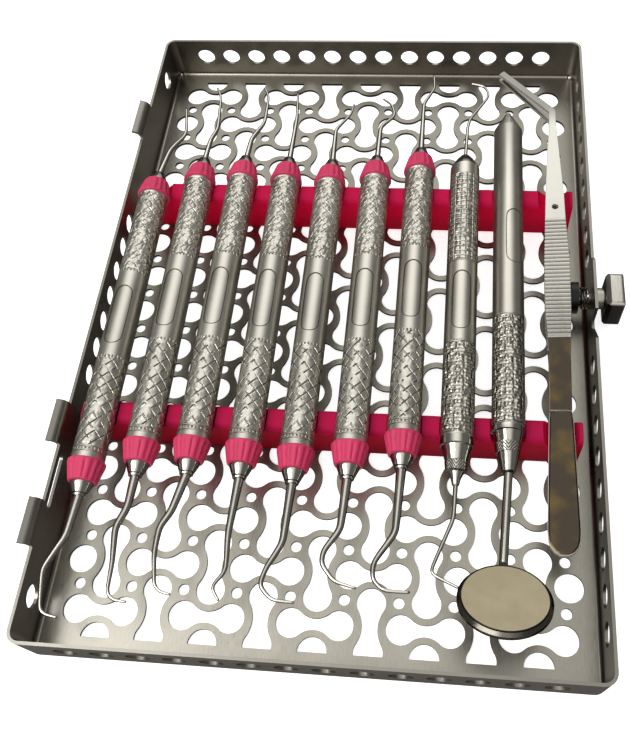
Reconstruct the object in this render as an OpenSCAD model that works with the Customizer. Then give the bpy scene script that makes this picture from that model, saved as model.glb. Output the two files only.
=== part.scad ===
// Dental instrument cassette: a perforated steel tray with two silicone rails, a spring latch,
// seven double-ended scalers, an explorer, a mouth mirror and a pair of college tweezers.
// X runs across the instruments, Y along them to the rear, Z up. The origin is on the
// underside of the tray at its middle.

/* [Tray] */
// Outer width of the tray, across the instruments
tray_w = 140; // [138:0.5:150]
// Outer length of the tray, along the instruments
tray_l = 201; // [200:0.5:210]
// Height of the folded walls
wall_h = 15.2; // [14.5:0.1:17]
// Thickness of the steel sheet
sheet = 0.8; // [0.6:0.1:1]
// Outer radius of the fold between floor and wall
fold_r = 1.8; // [1.4:0.1:2.2]
// Outer radius of the upright corners
corner_r = 3.2; // [3:0.1:4]

/* [Floor pattern] */
// Distance from the outside of the tray to the outer border of the tenth cell across
cell_edge = 1.85; // [1.5:0.05:2.5]
// Cells between the middle of the floor and the straight end of the pattern
cells_to_end = 7.528; // [7.5:0.001:7.6]
// Distance from a slot's middle to the centre of its round end
slot_reach = 6; // [5.8:0.05:6.1]
// Radius of a slot's round end
slot_r = 3.65; // [3.4:0.05:3.8]
// Half the waist of a slot that lies across the tray
waist_across = 1.4; // [1:0.1:1.6]
// Half the waist of a slot that lies along the tray
waist_along = 1.95; // [1.5:0.05:2.1]
// Radius of the small round holes between the slots
dot_r = 1.4; // [1:0.1:1.5]
// Distance from the outside of the tray to the straight end of the pattern
pattern_margin = 5.2; // [4.9:0.1:5.6]

/* [Wall holes] */
// Radius of the round holes in the walls
wall_hole_r = 2.9; // [2.4:0.1:3]
// Height of the wall holes above the underside
wall_hole_z = 8.5; // [8:0.1:9]
// Spacing of the holes in the front and rear walls
end_hole_step = 8.86; // [8.7:0.01:9]
// Spacing of the holes in the left and right walls
side_hole_step = 8.8; // [8.7:0.01:8.9]

/* [Hinge tabs and slot] */
// Middle of each tab on the left wall, along the tray
tab_y = [62, -44.7, -71.7]; // [-80:0.1:80]
// Length of each tab
tab_len = [13.4, 11.8, 11.8]; // [9:0.1:14]
// Radius of the outward curl of a tab, at the middle of the sheet
tab_curl_r = 1.9; // [1.5:0.1:2.2]
// Straight lip after the curl
tab_lip = 1.3; // [0.8:0.1:1.6]
// Middle of the long slot between the two front tabs
wall_slot_y = -59.6; // [-60:0.1:-59]
// Length of the long slot
wall_slot_len = 14.4; // [13:0.1:15]
// Width of the long slot
wall_slot_w = 1.9; // [1.5:0.1:2.2]
// Height of the long slot above the underside
wall_slot_z = 12.5; // [12:0.1:12.8]

/* [Rails] */
// Middle of the front rail, along the tray
front_rail_y = -39.5; // [-40:0.1:-39]
// Middle of the rear rail, along the tray
rear_rail_y = 36; // [35.5:0.1:36.5]
// Thickness of a rail
rail_t = 6.6; // [6:0.1:7]
// Height of a rail's posts above the underside of the tray
rail_top = 13.8; // [13.4:0.1:14.2]
// Distance between the ends of a rail and the outside of the tray
rail_end_gap = 4.2; // [3.6:0.1:5]
// Radius of a rail's top edges
rail_edge_r = 2; // [1:0.1:2.4]
// Radius of the notch under each handle
notch_r = 4.7; // [4.65:0.05:4.9]
// Distance between a grip and the dent that it presses into a notch
dent_gap = 0.25; // [0.2:0.05:0.4]

/* [Lanes] */
// Distance from the outside of the tray to the outer border of the first and last lanes
lane_edge = 3; // [2.5:0.1:3.5]
// Sideways offset of the row of instruments
lane_shift = -0.7; // [-1:0.1:0]
// Height of the handle axes above the underside of the tray
axis_z = 15; // [14.9:0.1:15.2]

/* [Latch] */
// Height of the latch axis
latch_z = 8.8; // [8.5:0.1:9.5]
// Place of the latch along the tray
latch_y = 4; // [3.5:0.1:5]
// Width of the square knob
knob_w = 11; // [10:0.1:12]
// Length of the knob
knob_len = 5; // [4.6:0.1:5.5]
// Radius of the knob's long edges
knob_edge_r = 1.4; // [1:0.1:2]
// Radius of the edges round the knob's front face
knob_front_r = 1.2; // [0.8:0.1:1.6]
// Radius of the shaft
shaft_r = 1.8; // [1.5:0.1:2]
// Radius of the collar on the wall
collar_r = 3; // [2.8:0.1:3.2]
// Length of the collar
collar_len = 2.9; // [2.5:0.1:3]
// Radius of the inner disc
disc_r = 4.5; // [4:0.1:5]
// Thickness of the inner disc
disc_t = 2; // [1.5:0.1:2.2]
// Radius of the spring, at the middle of its wire
spring_r = 2.9; // [2.7:0.1:3.2]
// Radius of the spring wire
spring_wire_r = 0.25; // [0.2:0.05:0.3]
// Number of turns of the spring
spring_turns = 3; // [2:0.5:4]

/* [Scalers] */
// Radius of a scaler handle
scaler_r = 4.3; // [4.2:0.05:4.4]
// Length of the thick part of a scaler handle
scaler_len = 86; // [84:0.5:88]
// Length of a pink grip
grip_len = 5.9; // [5.5:0.1:6.5]
// Radius of a grip at the handle
grip_r_wide = 4.85; // [4.7:0.05:5]
// Radius of a grip at the tip
grip_r_slim = 3.4; // [3.2:0.05:3.6]
// Radius of the handle's neck inside a grip
neck_r = 2.9; // [2.7:0.1:3]
// Length of the steel cone in front of a grip
ferrule_len = 3.8; // [3.5:0.1:4]
// Radius of the cone at the grip
ferrule_r_wide = 2.7; // [2.5:0.05:2.8]
// Radius of the cone at the shank
ferrule_r_slim = 1.9; // [1.7:0.05:2]
// Radius of a front shank where it leaves the cone
front_shank_r = 1.15; // [1.05:0.05:1.25]
// Radius of a rear shank where it leaves the cone
rear_shank_r = 1; // [0.9:0.05:1.1]
// Radius of the working end
point_r = 0.27; // [0.25:0.01:0.35]

/* [Label fields, left blank] */
// Width of a label field
pad_w = 5; // [4:0.1:5.5]
// Length of a label field
pad_len = 18.6; // [17:0.1:20]
// Depth of a label field in the skin of its handle
pad_depth = 0.12; // [0.08:0.01:0.2]
// Distance of a scaler's field from its middle, to the front
scaler_pad_shift = 0.8; // [0:0.1:2]
// Middle of the explorer's field, along the tray
explorer_pad_y = -4.1; // [-6:0.1:-2]
// Middle of the mirror handle's field, along the tray
mirror_pad_y = 17.9; // [16:0.1:20]
// Turn of the mirror handle's field to the right
mirror_pad_turn = 26; // [0:1:40]

/* [Explorer] */
// Radius of the explorer handle
explorer_r = 4.35; // [4.2:0.05:4.4]
// Rear end of the explorer handle
explorer_rear = 44.5; // [44:0.1:45]
// Front end of the explorer handle
explorer_front = -43.7; // [-44:0.1:-43]
// Length of the explorer's front steel cone, twice that of the rear one
explorer_cone = 11; // [10:0.5:12]
// Radius of the explorer's front shank
explorer_front_r = 0.7; // [0.6:0.05:0.8]
// Radius of the explorer's rear shank
explorer_rear_r = 0.55; // [0.5:0.05:0.7]
// Radius of the explorer's points
explorer_point_r = 0.25; // [0.2:0.01:0.3]

/* [Mirror] */
// Radius of the mirror handle
mirror_r = 4.3; // [4.2:0.05:4.5]
// Front end of the mirror handle
mirror_front = -40.5; // [-41:0.1:-40]
// Start of the tapered rear end
mirror_taper = 60; // [59:0.1:61]
// Length of the tapered rear end
mirror_taper_len = 7.2; // [6.5:0.1:7.5]
// Radius of the mirror head
head_r = 10.9; // [10.7:0.05:11.1]
// Radius of the mirror glass
glass_r = 9.95; // [9.8:0.05:10.1]
// Thickness of the mirror head
head_t = 2.4; // [2:0.1:2.6]
// Thickness of the glass
glass_t = 0.8; // [0.6:0.1:1]
// Tilt of the mirror head, its front edge up
head_tilt = 31.5; // [30:0.5:33]
// Sideways offset of the mirror head from its handle
head_shift = -1.1; // [-1.3:0.1:0]
// Middle of the glass face, along the tray
head_y = -83.55; // [-84:0.05:-83]
// Height of the middle of the glass face
head_z = 19.5; // [19:0.1:20]

/* [Tweezers] */
// Slope of the tweezers along the tray
tweezer_slope = 2; // [1.8:0.1:2.4]
// Roll of the tweezers about their length, negative where the right edge is up
tweezer_roll = -6; // [-7:0.5:0]
// Place of their reference point, along the tray
tweezer_y = -38.5; // [-39:0.1:-38]
// Height of their middle plane over that point
tweezer_z = 13.6; // [13.4:0.1:14]
// Thickness of an arm
arm_t = 1.1; // [0.9:0.1:1.2]
// Distance of a grip face from the middle plane
arm_spread = 4.1; // [3.8:0.1:4.3]
// Distance of an arm's outer face from the middle plane at the bend
bend_spread = 2.7; // [2.5:0.1:3]
// Distance of a tip's outer face from the middle plane
tip_spread = 1.4; // [1.3:0.1:1.8]
// Thickness of a tip
tip_t = 0.8; // [0.6:0.1:0.8]
// Radius of the guide pin
pin_r = 0.7; // [0.6:0.05:0.75]
// Radius of the hole that the guide pin passes through
pin_hole_r = 0.9; // [0.9:0.05:1]

/* [Hidden] */
$fn = 48;
// Sides of the swept steel ends
rod_sides = 10;

steel = [0.72, 0.70, 0.67];
polished = [0.80, 0.79, 0.76];
satin = [0.66, 0.63, 0.58];
pink = [0.90, 0.22, 0.42];
crimson = [0.78, 0.05, 0.25];
black = [0.10, 0.10, 0.10];
silver_glass = [0.76, 0.73, 0.62];

SCALERS = [1, 2, 3, 4, 5, 6, 7];

// Half the distance between the places where the folds begin
flat_x = tray_w / 2 - fold_r;
flat_y = tray_l / 2 - fold_r;
// Radius of the floor's own corners, inside the folded ones
floor_corner_r = corner_r - fold_r;
// Half the straight run of each wall
run_x = tray_w / 2 - corner_r;
run_y = tray_l / 2 - corner_r;

// Ten lanes share the width of the tray
lane_step = (tray_w - 2 * lane_edge) / 10;
rail_len = tray_w - 2 * rail_end_gap;
// The pattern's cells fill the floor in both directions
pattern_end = tray_l / 2 - pattern_margin;
cell_x = (tray_w - 2 * cell_edge) / 10;
cell_y = pattern_end / cells_to_end;

// Small offset of each lane from its even place
lane_play = [0.1, 0, -0.3, -0.05, 0.05, 0.35, 0.25, 0.45, -0.05, 0];

// Middle of each lane, counted 0 to 9 from the left
function lane_x(i) = lane_shift + (i - 4.5) * lane_step + lane_play[i];

// Places along the tray of each scaler's middle
scaler_mid = [-11.7, -5.7, -4.6, -4.9, -5.6, -3.65, -0.2];

// Routes of the scaler tips after the steel cone, as steps across and along from the cone's
// small end. Each rear route runs to the rear, each front route to the front.
rear_route = [
    [[1.4, 9.2], [2.4, 11.5], [5.2, 16], [5.1, 19], [3.4, 28]],
    [[0.5, 8.5], [2, 13], [0.8, 27], [-0.9, 30.9]],
    [[0.5, 8], [3.7, 14.9], [3.5, 26.5], [1.7, 30.1]],
    [[0.25, 17.3], [-0.75, 28.7]],
    [[-0.25, 13.4], [3.95, 20], [4.55, 24.2]],
    [[0.15, 12.85], [4.35, 17.65], [3.15, 22.35], [0.25, 24.85]],
    [[-0.05, 19.5], [3.15, 26.5], [2.65, 32.2]]
];
front_route = [
    [[-0.7, 10.1], [-2.3, 13.6], [-4.4, 18.6], [-2.7, 27.6], [-1.5, 29], [1.9, 29.6]],
    [[-0.2, 8.1], [-2.1, 13.3], [-0.9, 22.1], [-0.6, 29.1], [1.1, 30.7], [4.4, 31]],
    [[-2, 9.5], [-4.2, 13.7], [-4.2, 20.3], [-2.7, 27.7], [-1.1, 29.2], [1.5, 29.7]],
    [[-0.55, 13.9], [0.25, 23.1], [-2.55, 27.1], [-0.35, 30]],
    [[-0.45, 14.8], [-3.75, 21.4], [-4.65, 25.3], [-1.35, 28.5], [3.85, 28.7]],
    [[-0.55, 12.65], [-4.05, 18.15], [-4.25, 21.15], [-0.95, 25.15], [4.35, 26.45]],
    [[-0.45, 16.1], [-5.25, 23.8], [-5.15, 27.6], [-2.45, 30.1], [3.65, 30.1]]
];
explorer_rear_route = [[0.15, 3], [0.45, 12.5], [1.25, 15.8], [6.25, 24.2], [6.75, 26], [6.35, 28],
    [5.05, 29.9], [1.35, 30.8]];
explorer_front_route = [[-0.25, 10], [-5.05, 22.6], [-4.55, 23.9], [1.75, 26.7]];

// Tray

// Cross-section of a wall and its fold, measured from the fold's centre outward and up
module wall_section() {
    translate([fold_r - sheet, 0])
        square([sheet, wall_h - fold_r]);
    intersection() {
        difference() {
            circle(fold_r);
            circle(fold_r - sheet);
        }
        translate([0, -fold_r])
            square(fold_r);
    }
}

// A straight folded wall that faces +X, running along Y
module side_wall_sheet() {
    translate([flat_x, 0, fold_r])
        rotate([90, 0, 0])
            linear_extrude(2 * run_y, center = true)
                wall_section();
}

// A folded wall that faces +Y, with both of its upright corners
module end_wall_sheet() {
    translate([0, flat_y, fold_r])
        rotate([90, 0, 90])
            linear_extrude(2 * run_x, center = true)
                wall_section();
    for (side = [0, 1])
        mirror([side, 0, 0])
            translate([run_x, run_y, fold_r])
                rotate_extrude(angle = 90)
                    translate([floor_corner_r, 0])
                        wall_section();
}

module end_wall() {
    difference() {
        end_wall_sheet();
        for (k = [0:13])
            translate([(k - 6.5) * end_hole_step, flat_y, wall_hole_z])
                rotate([-90, 0, 0])
                    cylinder(h = 2 * fold_r, r = wall_hole_r);
    }
}

// Holes in a wall that faces +X, at the given numbers of steps from its middle
module side_holes(steps) {
    for (n = steps)
        translate([flat_x, n * side_hole_step, wall_hole_z])
            rotate([0, 90, 0])
                cylinder(h = 2 * fold_r, r = wall_hole_r);
}

// A slot's outline along X: two round ends and a waist with hollow sides that meet them smoothly
module slot_outline(waist) {
    gap = slot_r - waist;
    hollow_y = (slot_reach * slot_reach - gap * gap) / (2 * gap);
    hollow_r = hollow_y - waist;
    touch = slot_reach * hollow_r / (hollow_r + slot_r);
    shoulder = slot_r * hollow_y / (hollow_r + slot_r);
    for (side = [-1, 1])
        translate([side * slot_reach, 0])
            circle(slot_r);
    difference() {
        square([2 * touch + 0.4, 2 * shoulder], center = true);
        for (side = [-1, 1])
            translate([0, side * hollow_y])
                circle(hollow_r + 0.03, $fn = 96);
    }
}

// The slot of cell (i, j): across the tray where i + j is odd, along it where it is even
module cell_slot(i, j) {
    translate([i * cell_x, j * cell_y])
        if ((i + j) % 2 != 0)
            slot_outline(waist_across);
        else
            rotate(90)
                slot_outline(waist_along);
}

module floor_holes() {
    for (i = [-4:4], j = [-6:6])
        cell_slot(i, j);
    // Rows at the front and rear, cut off straight at the end of the pattern
    intersection() {
        square([tray_w, 2 * pattern_end], center = true);
        for (i = [-4:4], j = [-7, 7])
            cell_slot(i, j);
    }
    intersection() {
        square([tray_w, 2 * pattern_end], center = true);
        for (i = [-4:2:4], side = [-1, 1])
            translate([i * cell_x, side * (8 * cell_y - slot_reach)])
                circle(slot_r);
    }
    // Columns at the left and right, of which only the inner round ends are cut
    for (side = [-1, 1], j = [-6:2:6])
        translate([side * (5 * cell_x - slot_reach), j * cell_y])
            circle(slot_r);
    for (i = [0:9], j = [0:13])
        translate([(i - 4.5) * cell_x, (j - 6.5) * cell_y])
            circle(dot_r);
}

module floor_outline() {
    square([2 * flat_x, 2 * (flat_y - floor_corner_r)], center = true);
    square([2 * (flat_x - floor_corner_r), 2 * flat_y], center = true);
    for (x = [-1, 1], y = [-1, 1])
        translate([x * (flat_x - floor_corner_r), y * (flat_y - floor_corner_r)])
            circle(floor_corner_r);
}

module tray_floor() {
    color(steel)
        linear_extrude(sheet)
            difference() {
                floor_outline();
                floor_holes();
            }
}

module rear_wall() {
    color(steel)
        end_wall();
}

module front_wall() {
    color(steel)
        mirror([0, 1, 0])
            end_wall();
}

// A tab that rises from the rim of a wall facing +X and curls outward
module hinge_tab(length) {
    curl = 70;
    rise = 0.6;
    translate([tray_w / 2 - sheet, -length / 2, wall_h - 1])
        cube([sheet, length, 1 + rise]);
    translate([tray_w / 2 - sheet / 2 + tab_curl_r, length / 2, wall_h + rise])
        rotate([90, 0, 0])
            linear_extrude(length)
                curl_section(curl);
}

// Cross-section of the curl about its centre: an arc from the wall over and outward, then a lip
module curl_section(curl) {
    outer = tab_curl_r + sheet / 2;
    reach = 2 * outer;
    intersection() {
        difference() {
            circle(outer);
            circle(tab_curl_r - sheet / 2);
        }
        polygon([[0, 0], [-reach, 0], [-reach, reach], [-reach * cos(curl), reach * sin(curl)]]);
    }
    rotate(-curl)
        translate([-outer, 0])
            square([sheet, tab_lip]);
}

module left_wall() {
    half = (wall_slot_len - wall_slot_w) / 2;
    color(steel)
        mirror([1, 0, 0])
            difference() {
                union() {
                    side_wall_sheet();
                    for (k = [0:2])
                        translate([0, tab_y[k], 0])
                            hinge_tab(tab_len[k]);
                }
                side_holes([-10, -3, -2, -1, 0, 1, 2, 3, 10]);
                translate([flat_x, wall_slot_y, wall_slot_z])
                    rotate([0, 90, 0])
                        linear_extrude(2 * fold_r) {
                            square([wall_slot_w, 2 * half], center = true);
                            for (side = [-1, 1])
                                translate([0, side * half])
                                    circle(wall_slot_w / 2);
                        }
            }
}

module right_wall() {
    lug_front = -4.5;
    lug_rear = 13.5;
    lug_rise = 2;
    notch_z = 10.7;
    color(steel)
        difference() {
            union() {
                side_wall_sheet();
                translate([tray_w / 2 - sheet, 0, 0])
                    rotate([90, 0, 90])
                        linear_extrude(sheet)
                            polygon([[lug_front, wall_h - 1], [lug_rear, wall_h - 1], [lug_rear, wall_h],
                                [lug_rear - 2, wall_h + lug_rise], [lug_front, wall_h + lug_rise]]);
            }
            side_holes([-10, -9, -8, -7, -6, -5, -4, -3, -2, 2, 3, 4, 5, 6, 7, 8, 9, 10]);
            translate([flat_x, 0, 0])
                rotate([90, 0, 90])
                    linear_extrude(2 * fold_r)
                        polygon([[lug_front, notch_z], [lug_front - 2.5, notch_z],
                            [lug_front - 8, wall_h + 0.01], [lug_front, wall_h + 0.01]]);
            translate([flat_x, latch_y, latch_z])
                rotate([0, 90, 0])
                    cylinder(h = 2 * fold_r, r = shaft_r + 0.1);
        }
}

// Rails

module rail_section() {
    flat_top = rail_t / 2 - rail_edge_r;
    translate([-rail_t / 2, sheet])
        square([rail_t, rail_top - rail_edge_r - sheet]);
    translate([-flat_top, sheet])
        square([2 * flat_top, rail_top - sheet]);
    for (side = [-1, 1])
        translate([side * flat_top, rail_top - rail_edge_r])
            circle(rail_edge_r);
}

// A rail with a notch in each lane
module rail(y) {
    difference() {
        translate([lane_shift, y, 0])
            rotate([90, 0, 90])
                linear_extrude(rail_len, center = true)
                    rail_section();
        for (i = [0:9])
            translate([lane_x(i), y, axis_z])
                rotate([90, 0, 0])
                    cylinder(h = rail_t + 2, r = notch_r, center = true);
    }
}

module front_rail() {
    color(crimson)
        rail(front_rail_y);
}

// The grips of scalers 2 to 5 press their shoulders into the rear half of this rail
module rear_rail() {
    color(crimson)
        difference() {
            rail(rear_rail_y);
            for (i = [2:5])
                at_scaler_end(i, true)
                    translate([0, -dent_gap, 0])
                        facing(true)
                            cylinder(h = rail_t, r = grip_r_wide + dent_gap);
        }
}

// Latch, whose parts are drawn along +X from the outer face of the right wall

module on_latch_axis() {
    translate([tray_w / 2, latch_y, latch_z])
        rotate([0, 90, 0])
            children();
}

spring_len = 3.3;
knob_gap = 0.3;
knob_start = collar_len + knob_gap;
knob_bore = 3.4;
// How far the knob's back face is drawn in on each side, and over what length
knob_narrow = 0.9;
knob_slant = 1.2;

module latch_collar() {
    color(polished)
        on_latch_axis()
            difference() {
                cylinder(h = collar_len, r = collar_r);
                translate([0, 0, -1])
                    cylinder(h = collar_len + 2, r = shaft_r + 0.1);
            }
}

module knob_outline() {
    inner = knob_w - 2 * knob_edge_r;
    square([knob_w, inner], center = true);
    square([inner, knob_w], center = true);
    for (x = [-1, 1], y = [-1, 1])
        translate([x * inner / 2, y * inner / 2])
            circle(knob_edge_r);
}

// Side view of the knob, from its back face along the axis
module knob_profile() {
    half = knob_w / 2;
    straight = knob_len - knob_front_r;
    polygon([[0, knob_narrow - half], [knob_slant, -half], [straight, -half], [straight, half],
        [knob_slant, half], [0, half - knob_narrow]]);
    translate([knob_slant, knob_front_r - half])
        square([knob_len - knob_slant, knob_w - 2 * knob_front_r]);
    for (side = [-1, 1])
        translate([straight, side * (half - knob_front_r)])
            circle(knob_front_r);
}

module latch_knob() {
    color(satin)
        on_latch_axis()
            translate([0, 0, knob_start])
                difference() {
                    intersection() {
                        linear_extrude(knob_len)
                            knob_outline();
                        rotate([0, -90, 0])
                            linear_extrude(2 * knob_w, center = true)
                                knob_profile();
                        rotate([0, -90, 90])
                            linear_extrude(2 * knob_w, center = true)
                                knob_profile();
                    }
                    translate([0, 0, -1])
                        cylinder(h = knob_bore + 1, r = shaft_r + 0.1);
                }
}

module latch_shaft() {
    inside = sheet + spring_len + disc_t;
    color(polished)
        on_latch_axis()
            translate([0, 0, -inside])
                cylinder(h = inside + knob_start + knob_bore - 0.1, r = shaft_r);
}

module latch_disc() {
    color(black)
        on_latch_axis()
            translate([0, 0, -sheet - spring_len - disc_t])
                difference() {
                    cylinder(h = disc_t, r = disc_r);
                    translate([0, 0, -1])
                        cylinder(h = disc_t + 2, r = shaft_r);
                }
}

// Points of the spring wire's rings: a coil that closes flat inside its own length
spring_sides = 8;
spring_rings = 20 * spring_turns;
function spring_point(i, k) =
    let (turn = 360 * spring_turns * i / spring_rings)
    let (around = 360 * k / spring_sides)
    let (reach = spring_r + spring_wire_r * cos(around))
    let (clear = spring_wire_r + 0.05)
    [reach * cos(turn), reach * sin(turn),
        clear + (spring_len - 2 * clear) * i / spring_rings + spring_wire_r * sin(around)];

module latch_spring() {
    points = [for (i = [0:spring_rings], k = [0:spring_sides - 1]) spring_point(i, k)];
    side_faces = [for (i = [0:spring_rings - 1], k = [0:spring_sides - 1])
        let (next = (k + 1) % spring_sides)
        [i * spring_sides + k, (i + 1) * spring_sides + k,
            (i + 1) * spring_sides + next, i * spring_sides + next]];
    first = [for (k = [0:spring_sides - 1]) k];
    last = [for (k = [spring_sides - 1:-1:0]) spring_rings * spring_sides + k];
    color(polished)
        on_latch_axis()
            translate([0, 0, -sheet - spring_len])
                polyhedron(points, concat(side_faces, [first, last]), convexity = 4);
}

// Instruments lie along Y, so their round parts are drawn along +Z and turned

// Turns +Z to the rear, or to the front
module facing(rearward) {
    rotate([rearward ? -90 : 90, 0, 0])
        children();
}

// Rings of a swept rod: one at each point, square to the way there, with the radius given for it
function way_at(points, i) =
    let (before = points[max(i - 1, 0)])
    let (after = points[min(i + 1, len(points) - 1)])
    (after - before) / norm(after - before);
function ring_point(points, radii, sides, i, k) =
    let (way = way_at(points, i))
    let (around = 360 * k / sides)
    [points[i][0] + radii[i] * cos(around) * way[1],
        points[i][1] - radii[i] * cos(around) * way[0],
        radii[i] * sin(around)];

// A round rod that follows flat points, with a radius for each
module swept_rod(points, radii, sides) {
    rings = len(points);
    corners = [for (i = [0:rings - 1], k = [0:sides - 1]) ring_point(points, radii, sides, i, k)];
    skin = [for (i = [0:rings - 2], k = [0:sides - 1])
        let (next = (k + 1) % sides)
        [i * sides + k, i * sides + next, (i + 1) * sides + next, (i + 1) * sides + k]];
    first = [for (k = [sides - 1:-1:0]) k];
    last = [for (k = [0:sides - 1]) (rings - 1) * sides + k];
    polyhedron(corners, concat(skin, [first, last]), convexity = 6);
}

// A route with each inner corner replaced by two points, a little before and after it
function eased(points, cut) =
    let (last = len(points) - 1)
    [for (i = [0:last])
        let (here = points[i])
        let (back = points[max(i - 1, 0)] - here)
        let (on = points[min(i + 1, last)] - here)
        each (i == 0 || i == last) ? [here]
            : [here + back * min(cut / norm(back), 0.4), here + on * min(cut / norm(on), 0.4)]];

// The steel end of an instrument: a cone, a step down, and a shank that thins along its route.
// The route starts at the cone's small end and its points are steps across and along.
module steel_end(cone_len, cone_r, cone_end_r, rod_r, end_r, route, rearward) {
    line = eased(concat([[0, cone_len]], [for (step = route) [step[0], cone_len + step[1]]]), 0.8);
    last = len(line) - 1;
    points = concat([[0, 0], [0, cone_len - 0.4]], line);
    radii = concat([cone_r, cone_end_r],
        [for (i = [0:last]) rod_r + (end_r - rod_r) * sqrt(i / last)]);
    mirror([0, rearward ? 0 : 1, 0])
        swept_rod(points, radii, rod_sides);
}

// What a sunk label field takes from the top of a round handle along Y
module label_cut(radius) {
    half = (pad_len - pad_w) / 2;
    difference() {
        linear_extrude(radius + 1) {
            square([pad_w, 2 * half], center = true);
            for (side = [-1, 1])
                translate([0, side * half])
                    circle(pad_w / 2);
        }
        rotate([90, 0, 0])
            cylinder(h = pad_len + 2, r = radius - pad_depth, center = true);
    }
}

module scaler_handle(i) {
    color(satin)
        translate([lane_x(i - 1), scaler_mid[i - 1], axis_z])
            difference() {
                rotate([90, 0, 0]) {
                    cylinder(h = scaler_len, r = scaler_r, center = true);
                    cylinder(h = scaler_len + 2 * grip_len, r = neck_r, center = true);
                }
                translate([0, -scaler_pad_shift, 0])
                    label_cut(scaler_r);
            }
}

// Moves to the end of a scaler's thick part
module at_scaler_end(i, rearward) {
    way = rearward ? 1 : -1;
    translate([lane_x(i - 1), scaler_mid[i - 1] + way * scaler_len / 2, axis_z])
        children();
}

module scaler_grip(i, rearward) {
    color(pink)
        at_scaler_end(i, rearward)
            facing(rearward)
                difference() {
                    cylinder(h = grip_len, r1 = grip_r_wide, r2 = grip_r_slim);
                    translate([0, 0, -1])
                        cylinder(h = grip_len + 2, r = neck_r);
                }
}

module scaler_tip(i, rearward) {
    route = rearward ? rear_route[i - 1] : front_route[i - 1];
    shank_r = rearward ? rear_shank_r : front_shank_r;
    way = rearward ? 1 : -1;
    color(polished)
        at_scaler_end(i, rearward)
            translate([0, way * grip_len, 0])
                steel_end(ferrule_len, ferrule_r_wide, ferrule_r_slim, shank_r, point_r, route,
                    rearward);
}

module explorer_handle() {
    color(satin)
        translate([lane_x(7), 0, axis_z])
            difference() {
                translate([0, explorer_front, 0])
                    facing(true)
                        cylinder(h = explorer_rear - explorer_front, r = explorer_r);
                translate([0, explorer_pad_y, 0])
                    label_cut(explorer_r);
            }
}

module explorer_tip(rearward) {
    start = rearward ? explorer_rear : explorer_front;
    cone = rearward ? explorer_cone / 2 : explorer_cone;
    shank_r = rearward ? explorer_rear_r : explorer_front_r;
    route = rearward ? explorer_rear_route : explorer_front_route;
    color(polished)
        translate([lane_x(7), start, axis_z])
            steel_end(cone, explorer_r - 0.25, 1.3, shank_r, explorer_point_r, route, rearward);
}

mirror_end_r = 0.9;

module mirror_handle() {
    color(satin)
        translate([lane_x(8), 0, axis_z])
            difference() {
                translate([0, mirror_front, 0])
                    facing(true) {
                        cylinder(h = mirror_taper - mirror_front, r = mirror_r);
                        translate([0, 0, mirror_taper - mirror_front])
                            cylinder(h = mirror_taper_len, r1 = mirror_r, r2 = mirror_end_r);
                        translate([0, 0, mirror_taper - mirror_front + mirror_taper_len])
                            sphere(mirror_end_r);
                    }
                translate([0, mirror_pad_y, 0])
                    rotate([0, mirror_pad_turn, 0])
                        label_cut(mirror_r);
            }
}

// Moves to the middle of the glass face and tilts with the mirror head
module on_mirror_head() {
    translate([lane_x(8) + head_shift, head_y, head_z])
        rotate([-head_tilt, 0, 0])
            children();
}

// Cross-section of the mirror head from its axis outward, up to the given height over the glass
module head_section(rise) {
    polygon([[0, -head_t], [glass_r - 0.3, -head_t], [head_r, -1.7], [head_r, rise - 0.7],
        [glass_r + 0.25, rise], [0, rise]]);
}

module mirror_stem() {
    cone_len = 11.3;
    stem_drop = 2.1;
    stem_run = 23.5;
    color(polished)
        difference() {
            translate([lane_x(8), mirror_front, axis_z]) {
                facing(false)
                    cylinder(h = cone_len, r1 = mirror_r - 0.1, r2 = 1.8);
                translate([0, -cone_len, 0])
                    rotate([0, 0, atan2(head_shift, stem_run)])
                        rotate([90 + atan2(stem_drop, stem_run), 0, 0])
                            translate([0, 0, -0.3])
                                cylinder(h = norm([stem_run, stem_drop]), r = 1.1);
            }
            on_mirror_head()
                rotate_extrude()
                    head_section(6);
        }
}

module mirror_cup() {
    color(polished)
        on_mirror_head()
            rotate_extrude()
                difference() {
                    head_section(-0.2);
                    translate([0, -glass_t])
                        square([glass_r, glass_t]);
                }
}

module mirror_glass() {
    color(silver_glass)
        on_mirror_head()
            translate([0, 0, -glass_t])
                cylinder(h = glass_t, r = glass_r);
}

// Tweezers, drawn from the point over the front rail with their middle plane level

joint_front = -33;
joint_rear = 4;
arm_gap = 0.3;

module in_tweezer_frame() {
    translate([lane_x(9), tweezer_y, tweezer_z])
        rotate([tweezer_slope, 0, 0])
            rotate([0, tweezer_roll, 0])
                children();
}

// Right edge of the joint end from its front, then the right edge of the arms to the tip, and
// the left edge back
joint_edge = [[1, joint_front], [2.3, -32.3], [3.3, -31], [3.75, -29.5], [3.95, -27], [3.8, -20],
    [3.45, -9], [3.1, 1.5]];
arm_right = [[2.8, 4], [2.8, 20], [3.3, 32], [3.4, 42], [3.35, 48], [2.6, 62], [2.4, 70],
    [1.95, 79], [1.5, 87], [0.95, 94], [0.75, 99], [0.75, 103.6], [-0.2, 104.9], [-14.9, 122.3]];
arm_left = [[-16.4, 121], [-1.2, 103], [-1.35, 95], [-2.05, 87], [-2.8, 70], [-2.95, 62],
    [-3.5, 48], [-3.55, 42], [-3.5, 32], [-2.8, 20], [-2.8, 4]];

// Outline seen from above: the rounded joint end, the grips and the bent tips
module tweezer_plan() {
    edge_end = len(joint_edge) - 1;
    polygon(concat(joint_edge, arm_right, arm_left,
        [for (k = [edge_end:-1:0]) [-joint_edge[k][0], joint_edge[k][1]]]));
}

// Places along the tweezers where the upper arm changes its slope
grip_front = 18;
grip_rear = 70;
bend_y = 103;
tip_y = 123;

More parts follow.
